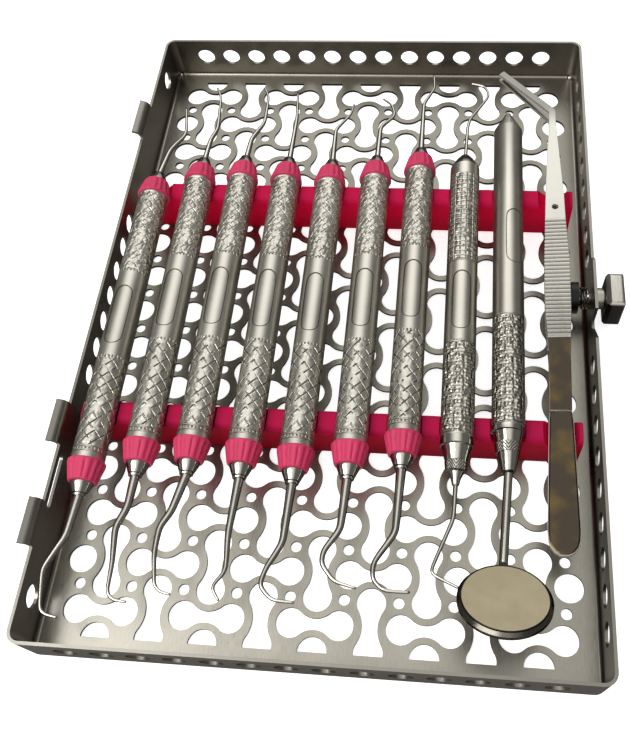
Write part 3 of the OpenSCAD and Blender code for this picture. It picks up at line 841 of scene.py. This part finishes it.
# A dark line colour: the label rims paint the shade at the label fields' edges, and the mirror's neck wears
# it too.
DARK_LINE = Finish("label_rim_painted_shade", (0.10, 0.09, 0.07), (0.06, 0.055, 0.045), (0.3, 0.45), relief=0.02)
TWEEZER = TweezerFinish("tweezer_steel", (0.47, 0.46, 0.42), (0.43, 0.42, 0.38), (0.2, 0.26), relief=0.0)


def basket_weave(low: float, high: float) -> tuple[Zone, Zone]:
    """Lays out the two families of lines that cross on a handle's front stretch."""
    return (
        Zone(low, high, around=11, width=0.24, dark=0.45, deep=1.2, broken=0.44),
        Zone(low, high, along=1.0, width=0.22, dark=0.3, deep=0.8),
    )


def knurl(low: float, high: float) -> Zone:
    """Lays out the fine chevrons of a knurled ring."""
    return Zone(low, high, along=1 / 0.95, width=0.26, dark=0.92, deep=0.5, folds=5, chevron=5)


# Sub-assemblies


class Palette:
    """The shared shader groups and the materials, each built when it is first asked for."""

    def __init__(self) -> None:
        """Builds the groups."""
        self.groups = Groups()
        self.built: dict[str, Material] = {}

    def material(self, finish: Finish) -> Material:
        """Gives a finish's material.

        Args:
            finish: The finish, known by its name.

        Returns:
            The material.
        """
        if finish.name not in self.built:
            self.built[finish.name] = finish.build(self.groups)
        return self.built[finish.name]


class Assembly:
    """What every sub-assembly shares: a palette, a body and the way a piece is finished."""

    def __init__(self, palette: Palette, body: str) -> None:
        """Keeps the palette and the name of the body that the pieces move with."""
        self.palette = palette
        self.body = body

    def coat(self, piece: Piece, finish: Finish) -> None:
        """Makes a finish the only one on a piece."""
        piece.data.materials.clear()
        piece.data.materials.append(self.palette.material(finish))

    def dress(self, node: str, finish: Finish) -> None:
        """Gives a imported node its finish."""
        self.coat(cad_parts[node], finish)
        LOG.info("dressed %s in %s", node, finish.name)

    def finish(self, piece: Piece, finish: Finish, slot: str, *replaces: str) -> None:
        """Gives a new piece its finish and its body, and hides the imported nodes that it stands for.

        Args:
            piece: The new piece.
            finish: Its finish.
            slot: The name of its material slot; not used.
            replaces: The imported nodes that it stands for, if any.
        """
        self.coat(piece, finish)
        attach(piece, self.body)
        if replaces:
            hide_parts(*replaces)
        LOG.info("made %s with %d faces", piece.name, len(piece.data.polygons))

    def smoothed(self, node: str, finish: Finish, slot: str) -> None:
        """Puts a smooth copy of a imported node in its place."""
        self.finish(merged(node), finish, slot, node)


@dataclass
class Tray(Assembly):
    """The folded steel tray with its two rails."""

    palette: Palette
    body: str = "tray"
    half_width: float = 70.0
    half_length: float = 100.5
    rail_easing: float = 0.8
    rail_steps: int = 3
    dot_inset: float = 1.9
    dot_height: float = 1.2
    dot_lean: float = 35.0
    dot_sides: int = 16
    dot_crease: float = 80.0
    dot_profile: Route = ((0, 0.2), (0.15, 0.9), (0.5, 0.75), (0.75, 0.2))

    def build(self) -> None:
        """Dresses the sheet, rounds the rails and adds the bright dots that paint the highlights in the
        rear corners.
        """
        self.dress("tray_floor", FLOOR)
        for node in ("front_wall", "rear_wall", "left_wall", "right_wall"):
            self.dress(node, SHADED_WALL)
        for node, silicone in (("front_rail", FRONT_RAIL), ("rear_rail", LIT_REAR_RAIL)):
            rail = eased(node, self.rail_easing, self.rail_steps)
            self.finish(rail, silicone, "pink_silicone", node)
        self.dress("latch_collar", COLLAR)
        # Painted highlight: bright polished dots in the rear inner corners stand for the corners'
        # highlights.
        for name, side in (("corner_highlight_dot_left", -1), ("corner_highlight_dot_right", 1)):
            dot = lathe(name, self.dot_profile, self.dot_sides)
            lean = math.radians(self.dot_lean)
            turn = Matrix.Rotation(-side * lean, 4, "Y") @ Matrix.Rotation(lean, 4, "X")
            across = side * (self.half_width - self.dot_inset)
            seat = Vector((across, self.half_length - self.dot_inset, self.dot_height)) * MM
            move(dot, Matrix.Translation(seat) @ turn)
            smooth(dot, self.dot_crease)
            self.finish(dot, POLISHED, "sheet_steel")


@dataclass
class Latch:
    """The sprung latch on the right wall."""

    palette: Palette

    def build(self) -> None:
        """Dresses the shaft and the disc, and puts smooth copies of the knob and the spring in their
        places.
        """
        core = Assembly(self.palette, "latch_core")
        core.dress("latch_shaft", COLLAR)
        core.dress("latch_disc", DISC)
        spring = merged("latch_spring")
        core.coat(spring, POLISHED)
        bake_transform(spring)
        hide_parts("latch_spring")
        Assembly(self.palette, "latch_knob").smoothed("latch_knob", KNOB, "satin_steel")


@dataclass(frozen=True)
class SteelEnd:
    """A turned cone and the bent, thinning shank that leaves it."""

    name: str
    cone: Route
    route: Route
    rod: float
    point: float
    sides: int = 40
    sunk: float = 0.6
    cut: float = 1.7
    most_of_leg: float = 0.45
    bend_steps: int = 4
    nose: float = 0.25
    nose_share: float = 0.35

    def make(self, x: float, y: float, z: float, end: End) -> Piece:
        """Makes the end.

        Args:
            x: Place of the handle's axis across the tray, in millimetres.
            y: Place along the tray where the cone starts.
            z: Height of the handle's axis.
            end: Which way the end points.

        Returns:
            The finished shape, in place.
        """
        small = self.cone[-1][0]
        corners = [(0.0, small - self.sunk), (0.0, small)]
        corners += [(across, small + along) for across, along in self.route]
        line = self.rounded(corners)
        runs = [0.0]
        for before, here in zip(line, line[1:]):
            runs.append(runs[-1] + math.dist(before, here))
        radii = [self.rod + (self.point - self.rod) * run / runs[-1] for run in runs]
        tip, back = line[-1], line[-2]
        stretch = self.nose / math.dist(tip, back)
        line.append((tip[0] + stretch * (tip[0] - back[0]), tip[1] + stretch * (tip[1] - back[1])))
        radii.append(self.point * self.nose_share)
        places = [(x + across, y + end.value * along, z) for across, along in line]
        rod = swept(f"{self.name}_rod", places, radii)
        cone = lathe(f"{self.name}_cone", self.cone, self.sides)
        move(cone, along_y(x, y, z, end))
        smooth(cone, TURNED_CREASE)
        deselect()
        rod.select_set(True)
        cone.select_set(True)
        bpy.context.view_layer.objects.active = cone
        bpy.ops.object.join()
        cone.name = self.name
        cone.data.name = self.name
        return cone

    def rounded(self, corners: Sequence[Pair]) -> list[Pair]:
        """Replaces each inner corner by a short curve that starts and ends a cut away from it.

        Args:
            corners: The corners of the route.

        Returns:
            The route with its corners rounded.
        """
        line = [corners[0]]
        for before, here, after in zip(corners, corners[1:], corners[2:]):
            ends = []
            for other in (before, after):
                share = min(self.cut / math.dist(here, other), self.most_of_leg)
                ends.append([h + (o - h) * share for h, o in zip(here, other)])
            for step in range(self.bend_steps + 1):
                t = step / self.bend_steps
                legs = zip(ends[0], here, ends[1])
                line.append(tuple((1 - t) ** 2 * a + 2 * t * (1 - t) * h + t**2 * b for a, h, b in legs))
        return line + [corners[-1]]


@dataclass(frozen=True)
class LabelRim:
    """The fine dark line round a blank label field, which hugs a round handle and paints the shade at the
    field's sunk edge.
    """

    handle_r: float
    lean: float = 0.0
    width: float = 5.0
    length: float = 18.6
    line_r: float = 0.1
    lift: float = 0.02
    turn_steps: int = 8

    def make(self, name: str, x: float, y: float, z: float) -> Piece:
        """Makes the line about a field whose middle is at y on a handle along Y.

        Args:
            name: The piece's name.
            x: Place of the handle's axis across the tray, in millimetres.
            y: Middle of the field along the tray.
            z: Height of the handle's axis.

        Returns:
            The line, lying half sunk in the handle's skin.
        """
        half = self.length / 2 - self.width / 2
        out = self.handle_r + self.lift
        points = []
        for way in (1, -1):
            for step in range(self.turn_steps + 1):
                angle = math.radians(180 * step / self.turn_steps)
                across = way * math.cos(angle) * self.width / 2
                along = way * (half + math.sin(angle) * self.width / 2)
                around = math.radians(self.lean) + across / self.handle_r
                points.append((x + math.sin(around) * out, y + along, z + math.cos(around) * out))
        return swept(name, points, [self.line_r] * len(points), cyclic=True)


@dataclass
class Scalers:
    """The seven double-ended scalers."""

    palette: Palette
    lanes: tuple[float, ...] = (-60.9, -47.6, -34.5, -20.85, -7.35, 6.35, 19.65)
    middles: tuple[float, ...] = (-11.7, -5.7, -4.6, -4.9, -5.6, -3.65, -0.2)
    height: float = 15.0
    handle_r: float = 4.3
    handle_len: float = 86.0
    label_offset: float = -0.8
    grip_len: float = 5.9
    ribs: int = 16
    flute_run: Pair = (0.9, 5.5)
    flute_share: float = 0.49
    flute_scale: float = 0.92
    grip_crease: float = 50.0
    tip_r: float = 0.32
    grip_profile: Route = (
        (0.0, 4.2),
        (0.12, 4.66),
        (0.45, 4.86),
        (0.95, 4.85),
        (1.5, 4.74),
        (2.6, 4.46),
        (3.8, 4.17),
        (4.9, 3.9),
        (5.4, 3.78),
        (5.75, 3.6),
        (5.9, 3.2),
    )
    cone: Route = (
        (-0.6, 2.9),
        (0.1, 2.98),
        (0.45, 2.95),
        (2.75, 1.95),
        (2.85, 1.6),
        (3.1, 1.6),
        (3.15, 1.82),
        (3.5, 1.7),
        (3.6, 1.1),
    )
    rear_routes: tuple[Route, ...] = (
        ((1.4, 9.2), (2.4, 11.5), (5.2, 16), (5.1, 19), (3.4, 28)),
        ((0.5, 8.5), (2, 13), (0.8, 27), (-0.9, 30.9)),
        ((0.5, 8), (3.7, 14.9), (3.5, 26.5), (1.7, 30.1)),
        ((0.25, 17.3), (-0.75, 28.7)),
        ((-0.25, 13.4), (3.95, 20), (4.55, 24.2)),
        ((0.15, 12.85), (4.35, 17.65), (3.15, 22.35), (0.25, 24.85)),
        ((-0.05, 19.5), (3.15, 26.5), (2.65, 32.2)),
    )
    front_routes: tuple[Route, ...] = (
        ((-0.7, 10.1), (-2.3, 13.6), (-4.4, 18.6), (-2.7, 27.6), (-1.5, 29), (1.9, 29.6)),
        ((-0.2, 8.1), (-2.1, 13.3), (-0.9, 22.1), (-0.6, 29.1), (1.1, 30.7), (4.4, 31)),
        ((-2, 9.5), (-4.2, 13.7), (-4.2, 20.3), (-2.7, 27.7), (-1.1, 29.2), (1.5, 29.7)),
        ((-0.55, 13.9), (0.25, 23.1), (-2.55, 27.1), (-0.35, 30)),
        ((-0.45, 14.8), (-3.75, 21.4), (-4.65, 25.3), (-1.35, 28.5), (3.85, 28.7)),
        ((-0.55, 12.65), (-4.05, 18.15), (-4.25, 21.15), (-0.95, 25.15), (4.35, 26.45)),
        ((-0.45, 16.1), (-5.25, 23.8), (-5.15, 27.6), (-2.45, 30.1), (3.65, 30.1)),
    )

    def grip_pattern(self) -> Piece:
        """Models one ribbed grip along +Z, from its shoulder to its slim end."""
        grip = lathe("grip_pattern", self.grip_profile, self.ribs * 4)
        pitch = math.radians(360 / self.ribs)
        low, high = (height * MM for height in self.flute_run)
        for vertex in grip.data.vertices:
            turn = (math.atan2(vertex.co.y, vertex.co.x) % pitch) / pitch
            vertex.select = low < vertex.co.z < high and turn < self.flute_share
        bpy.context.tool_settings.mesh_select_mode = (True, False, False)
        for part in (*grip.data.edges, *grip.data.polygons):
            part.select = False
        pick(grip)
        bpy.ops.object.mode_set(mode="EDIT")
        bpy.ops.transform.resize(value=(self.flute_scale, self.flute_scale, 1), center_override=(0, 0, 0))
        bpy.ops.mesh.select_all(action="DESELECT")
        bpy.ops.object.mode_set(mode="OBJECT")
        smooth(grip, self.grip_crease)
        return grip

    def steel(self, name: str, x: float, middle: float) -> HandleFinish:
        """Lays out the steel of one handle, with its crossed cuts, rows of dots and rings.

        Args:
            name: The scaler's name.
            x: Place of the handle's axis across the tray, in millimetres.
            middle: Middle of the handle along the tray.

        Returns:
            The finish.
        """
        front = (middle - 39.8, middle - 14.4)
        rear = (middle + 14.2, middle + 42.4)
        dots = {"around": 26, "width": 0.3}
        return HandleFinish(
            f"{name}_steel",
            (0.63, 0.61, 0.54),
            (0.54, 0.52, 0.455),
            (0.32, 0.42),
            edge_tint=0.5,
            hammered=(Hammer(*front, 560, 0.7), Hammer(*rear, 640, 1.25)),
            axis=(x, self.height),
            zones=(
                Zone(*front, around=-8, along=1 / 3.4, width=0.11, dark=0.65, deep=1.5, broken=0.42),
                Zone(*front, around=8, along=1 / 3.4, width=0.12, dark=0.0, deep=1.6, broken=0.44),
                Zone(*rear, around=-12, along=1 / 2.25, width=0.16, dark=0.3, deep=0.6, broken=0.44),
                Zone(*rear, around=12, along=1 / 2.25, width=0.16, dark=0.1, deep=0.7, broken=0.48),
                Zone(middle - 14.4, middle - 13.8, dark=0.2, **dots),
                Zone(middle + 13.6, middle + 14.2, dark=0.2, **dots),
                Zone(middle - 41.0, middle - 40.5, dark=0.3, **dots),
            ),
            rings=(middle - 40.3, middle - 41.4),
        )

    def build(self) -> None:
        """Builds all seven scalers."""
        grip = self.grip_pattern()
        rim = LabelRim(self.handle_r)
        for number, (x, middle) in enumerate(zip(self.lanes, self.middles)):
            name = f"scaler_{number + 1}"
            job = Assembly(self.palette, name)
            job.smoothed(f"{name}_handle", self.steel(name, x, middle), "handle_steel")
            line = rim.make(f"{name}_label_rim", x, middle + self.label_offset, self.height)
            job.finish(line, DARK_LINE, "handle_steel")
            for end, routes, rod in (
                (End.REAR, self.rear_routes, 0.95),
                (End.FRONT, self.front_routes, 1.32),
            ):
                side = end.name.lower()
                start = middle + end.value * self.handle_len / 2
                piece = copied(grip, f"{name}_{side}_ribbed_grip")
                move(piece, along_y(x, start, self.height, end))
                job.finish(piece, GRIP, "grip_rubber", f"{name}_{side}_grip")
                shape = SteelEnd(f"{name}_{side}_end", self.cone, routes[number], rod, self.tip_r)
                tip = shape.make(x, start + end.value * self.grip_len, self.height, end)
                job.finish(tip, POLISHED, "polished_steel", f"{name}_{side}_tip")
        pick(grip)
        bpy.ops.object.delete()


@dataclass
class Explorer(Assembly):
    """The double-ended explorer with its fine hooked points."""

    palette: Palette
    body: str = "explorer"
    x: float = 33.25
    z: float = 15.0
    handle_r: float = 4.35
    rear: float = 44.5
    front: float = -43.7
    label_y: float = -4.1
    squares: Pair = (9.2, 40.2)
    basket: Pair = (-43.2, -17.4)
    knurled: Pair = (-52.4, -50.0)
    tip_r: float = 0.36
    rear_cone: Route = ((-0.3, 4.0), (0.0, 4.25), (0.8, 4.1), (3.6, 2.6), (5.2, 1.5), (5.5, 1.1))
    front_cone: Route = (
        (-0.3, 4.0),
        (0.0, 4.3),
        (2.2, 4.3),
        (2.35, 4.15),
        (2.5, 3.9),
        (4.4, 3.35),
        (6.2, 2.87),
        (6.35, 2.97),
        (8.7, 2.7),
        (9.1, 2.0),
        (10.6, 1.3),
        (12.3, 0.88),
        (12.6, 0.5),
    )
    rear_route: Route = (
        (0.15, 3),
        (0.45, 12.5),
        (1.25, 15.8),
        (6.25, 24.2),
        (6.75, 26),
        (6.35, 28),
        (5.05, 29.9),
        (1.35, 30.8),
    )
    front_route: Route = ((-0.25, 8.2), (-5.05, 20.8), (-4.55, 22.1), (1.75, 24.9))

    def build(self) -> None:
        """Makes the handle, its label rim and both ends."""
        steel = HandleFinish(
            "explorer_steel",
            rough=(0.26, 0.36),
            hammered=(Hammer(*self.squares, 640, 1.4), Hammer(*self.basket, 820, 1.7)),
            axis=(self.x, self.z),
            zones=(
                Zone(*self.squares, around=16, width=0.16, dark=0.1, deep=0.8),
                Zone(*self.squares, along=1 / 1.6, width=0.18, dark=0.15),
                *basket_weave(*self.basket),
            ),
            rings=(8.8, -17.0),
            **SATIN,
        )
        self.smoothed("explorer_handle", steel, "handle_steel")
        line = LabelRim(self.handle_r).make("explorer_label_rim", self.x, self.label_y, self.z)
        self.finish(line, DARK_LINE, "handle_steel")
        for end, start, cone, route, rod, zones in (
            (End.REAR, self.rear, self.rear_cone, self.rear_route, 0.55, ()),
            (End.FRONT, self.front, self.front_cone, self.front_route, 0.62, (knurl(*self.knurled),)),
        ):
            side = end.name.lower()
            shape = SteelEnd(f"explorer_{side}_end", cone, route, rod, self.tip_r)
            tip = shape.make(self.x, start, self.z, end)
            steel = HandleFinish(
                f"explorer_{side}_steel", rough=(0.07, 0.16), axis=(self.x, self.z), zones=zones, **BRIGHT
            )
            self.finish(tip, steel, "polished_steel", f"explorer_{side}_tip")


@dataclass
class MouthMirror(Assembly):
    """The mouth mirror."""

    palette: Palette
    body: str = "mirror"
    x: float = 45.95
    z: float = 15.0
    front: float = -40.5
    handle_r: float = 4.3
    label_y: float = 17.9
    label_lean: float = 26.0
    basket: Pair = (-39.6, -8.6)
    knurled: Pair = (-47.1, -44.6)
    ring: Route = ((3.9, 3.2), (4.05, 3.46), (6.55, 2.96), (6.7, 2.6))
    collar: Route = ((-0.4, 3.9), (-0.3, 4.3), (0.0, 4.38), (1.1, 4.38), (1.3, 3.8))
    neck: Route = ((11.0, 1.2), (11.2, 1.45), (11.6, 1.45), (11.8, 1.1))
    glass_r: float = 10.0
    glass_centre: Point = (45.05, -83.55, 19.5)
    head_tilt: float = 31.5
    gap_shadow_r: float = 0.16
    gap_shadow_steps: int = 24

    def build(self) -> None:
        """Makes the handle, the stem with its turned parts, the cup, the painted shadow line round the
        glass and the label rim.
        """
        steel = HandleFinish(
            "mirror_handle_steel",
            rough=(0.28, 0.36),
            hammered=(Hammer(*self.basket, 820, 1.7),),
            axis=(self.x, self.z),
            zones=basket_weave(*self.basket),
            rings=(-8.2, -40.1),
            **SATIN,
        )
        self.smoothed("mirror_handle", steel, "handle_steel")
        stem = HandleFinish(
            "mirror_stem_steel",
            rough=(0.07, 0.16),
            axis=(self.x, self.z),
            zones=(knurl(*self.knurled),),
            **BRIGHT,
        )
        self.smoothed("mirror_stem", stem, "polished_steel")
        for name, profile, sides, finish in (
            ("mirror_knurled_ring", self.ring, 48, stem),
            ("mirror_handle_collar", self.collar, 48, stem),
            ("mirror_stem_neck", self.neck, 32, DARK_LINE),
        ):
            part = lathe(name, profile, sides)
            move(part, along_y(self.x, self.front, self.z, End.FRONT))
            smooth(part, TURNED_CREASE)
            self.finish(part, finish, "polished_steel")
        self.smoothed("mirror_cup", CUP, "polished_steel")
        self.dress("mirror_glass", SILVER)
        # Painted shadow: a dark line in the gap between the glass and the cup.
        self.finish(self.gap_shadow(), DISC, "handle_steel")
        rim = LabelRim(self.handle_r, self.label_lean)
        line = rim.make("mirror_label_rim", self.x, self.label_y, self.z)
        self.finish(line, DARK_LINE, "handle_steel")

    def gap_shadow(self) -> Piece:
        """Makes the dark line that paints the shadow in the gap between the glass and the cup's rim."""
        lean = math.radians(self.head_tilt)
        x, y, z = self.glass_centre
        points = []
        for step in range(self.gap_shadow_steps):
            angle = math.radians(360 * step / self.gap_shadow_steps)
            across, along = math.cos(angle) * self.glass_r, math.sin(angle) * self.glass_r
            points.append((x + across, y + along * math.cos(lean), z - along * math.sin(lean)))
        return swept("mirror_gap_shadow_line", points, [self.gap_shadow_r] * len(points), cyclic=True)


@dataclass
class Tweezers:
    """The college tweezers with cross-grooved grips."""

    palette: Palette
    easing: float = 0.5
    easing_steps: int = 2

    def build(self) -> None:
        """Breaks the edges of the joint and the arms, and dresses the guide pin."""
        lower = Assembly(self.palette, "tweezers")
        upper = Assembly(self.palette, "tweezer_arm")
        for job, node in (
            (lower, "tweezer_joint"),
            (lower, "tweezer_lower_arm"),
            (upper, "tweezer_upper_arm"),
        ):
            job.finish(eased(node, self.easing, self.easing_steps), TWEEZER, "polished_steel", node)
        lower.dress("tweezer_pin", DISC)


# Studio


@dataclass(frozen=True)
class Studio:
    """The floor, the lights, the sky and the camera at the photograph's place."""

    eye: Point = (29.656, -129.742, 213.323)
    right: Point = (0.99513471, 0.077317, -0.06106545)
    down: Point = (0.03877679, -0.87714155, -0.47866382)
    ahead: Point = (-0.0905719, 0.47396706, -0.87587211)
    focal_px: float = 846.98
    centre_px: Pair = (368.54, 361.81)
    frame_px: Pair = (630.0, 735.0)
    sensor: float = 36.0
    near: float = 10.0
    floor_size: float = 6000.0
    floor_drop: float = 0.3
    floor_rough: float = 0.9
    floor_seen: Colour = (0.9, 0.9, 0.9)
    floor_mirrored: Colour = (0.16, 0.15, 0.14)
    floor_glow: Pair = (0.75, 0.02)
    backdrop: Colour = (0.47, 0.47, 0.47)
    strip_colour: Colour = (1.0, 0.99, 0.97)
    strip_shift: float = 0.08
    strip_across: Pair = (0.7, 0.1)
    strip_height: Pair = (0.3, 0.65)
    strip_back: Pair = (0.35, 0.74)
    strip_gain: Pair = (0.55, 1.0)
    sky_level: float = 0.085
    sky_strength: float = 2.0

    def build(self) -> None:
        """Sets up everything round the object."""
        self.add_floor()
        self.add_sky()
        self.add_light("key_light", (-320, -220, 560), 420, 2.6)
        self.add_light("rear_panel", (90, 900, 300), 450, 0.42)
        bpy.context.scene.view_settings.view_transform = "Standard"
        self.add_camera()

    def add_floor(self) -> None:
        """Adds the pale floor, which glows like a light table and mirrors in steel as a grey one."""
        deselect()
        bpy.ops.mesh.primitive_plane_add(size=self.floor_size * MM, location=(0, 0, -self.floor_drop * MM))
        floor = bpy.context.object
        floor.name = "pale_floor"
        material = bpy.data.materials.new("pale_floor")
        material.use_nodes = True
        weave = Weave(material.node_tree)
        mirrored = weave.add("ShaderNodeLightPath").outputs["Is Glossy Ray"]
        weave.fill(
            material.node_tree.nodes["Principled BSDF"],
            Roughness=self.floor_rough,
            Emission_Color=(1, 1, 1, 1),
            Base_Color=weave.mix(mirrored, (*self.floor_seen, 1), (*self.floor_mirrored, 1)),
            Emission_Strength=weave.ramp(mirrored, 0.0, 1.0, *self.floor_glow),
        )
        floor.data.materials.append(material)

    def add_sky(self) -> None:
        """Adds a dim sky with one soft bright strip overhead, along the tray."""
        world = bpy.data.worlds.new("soft_sky")
        bpy.context.scene.world = world
        world.use_nodes = True
        weave = Weave(world.node_tree)
        across, back, height = weave.split(weave.add("ShaderNodeTexCoord").outputs["Generated"])
        off = weave.math("ABSOLUTE", weave.math("ADD", across, self.strip_shift))
        over = weave.ramp(off, *self.strip_across)
        strip = weave.math("MULTIPLY", over, weave.ramp(height, *self.strip_height))
        gain = weave.ramp(back, *self.strip_back, *self.strip_gain)
        level = weave.math("MULTIPLY_ADD", strip, gain, self.sky_level)
        lit = weave.mix(level, (0, 0, 0, 1), (*self.strip_colour, 1))
        seen = weave.add("ShaderNodeLightPath").outputs["Is Camera Ray"]
        colour = weave.mix(seen, lit, (*self.backdrop, 1))
        weave.fill(world.node_tree.nodes["Background"], Color=colour, Strength=self.sky_strength)

    def add_light(self, name: str, place: Point, size: float, power: float) -> None:
        """Adds a square area light that faces the tray's middle.

        Args:
            name: The light's name.
            place: Where it hangs, in millimetres.
            size: The length of its side.
            power: Its power in watts.
        """
        deselect()
        bpy.ops.object.light_add(type="AREA", location=Vector(place) * MM)
        lamp = bpy.context.object
        lamp.name = name
        lamp.data.size = size * MM
        lamp.data.energy = power
        lamp.rotation_euler = (-Vector(place)).to_track_quat("-Z", "Y").to_euler()

    def add_camera(self) -> None:
        """Adds the camera where the photograph was taken from."""
        camera = bpy.data.cameras.new("photo_camera")
        holder = bpy.data.objects.new("photo_camera", camera)
        bpy.context.scene.collection.objects.link(holder)
        long_side = max(self.frame_px)
        camera.sensor_width = self.sensor
        camera.lens = self.sensor * self.focal_px / long_side
        camera.shift_x = (self.frame_px[0] / 2 - self.centre_px[0]) / long_side
        camera.shift_y = (self.centre_px[1] - self.frame_px[1] / 2) / long_side
        camera.clip_start = self.near * MM
        axes = Matrix((Vector(self.right), -Vector(self.down), -Vector(self.ahead))).transposed()
        holder.matrix_world = Matrix.Translation(Vector(self.eye) * MM) @ axes.to_4x4()
        bpy.context.scene.camera = holder


def main() -> None:
    """Builds the sub-assemblies in order."""
    logging.basicConfig(level=logging.INFO, format="%(name)s: %(message)s")
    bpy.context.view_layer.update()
    palette = Palette()
    for job in (
        Tray(palette),
        Latch(palette),
        Scalers(palette),
        Explorer(palette),
        MouthMirror(palette),
        Tweezers(palette),
        Studio(),
    ):
        job.build()
        LOG.info("built %s", type(job).__name__)


if __name__ == "__main__":
    main()
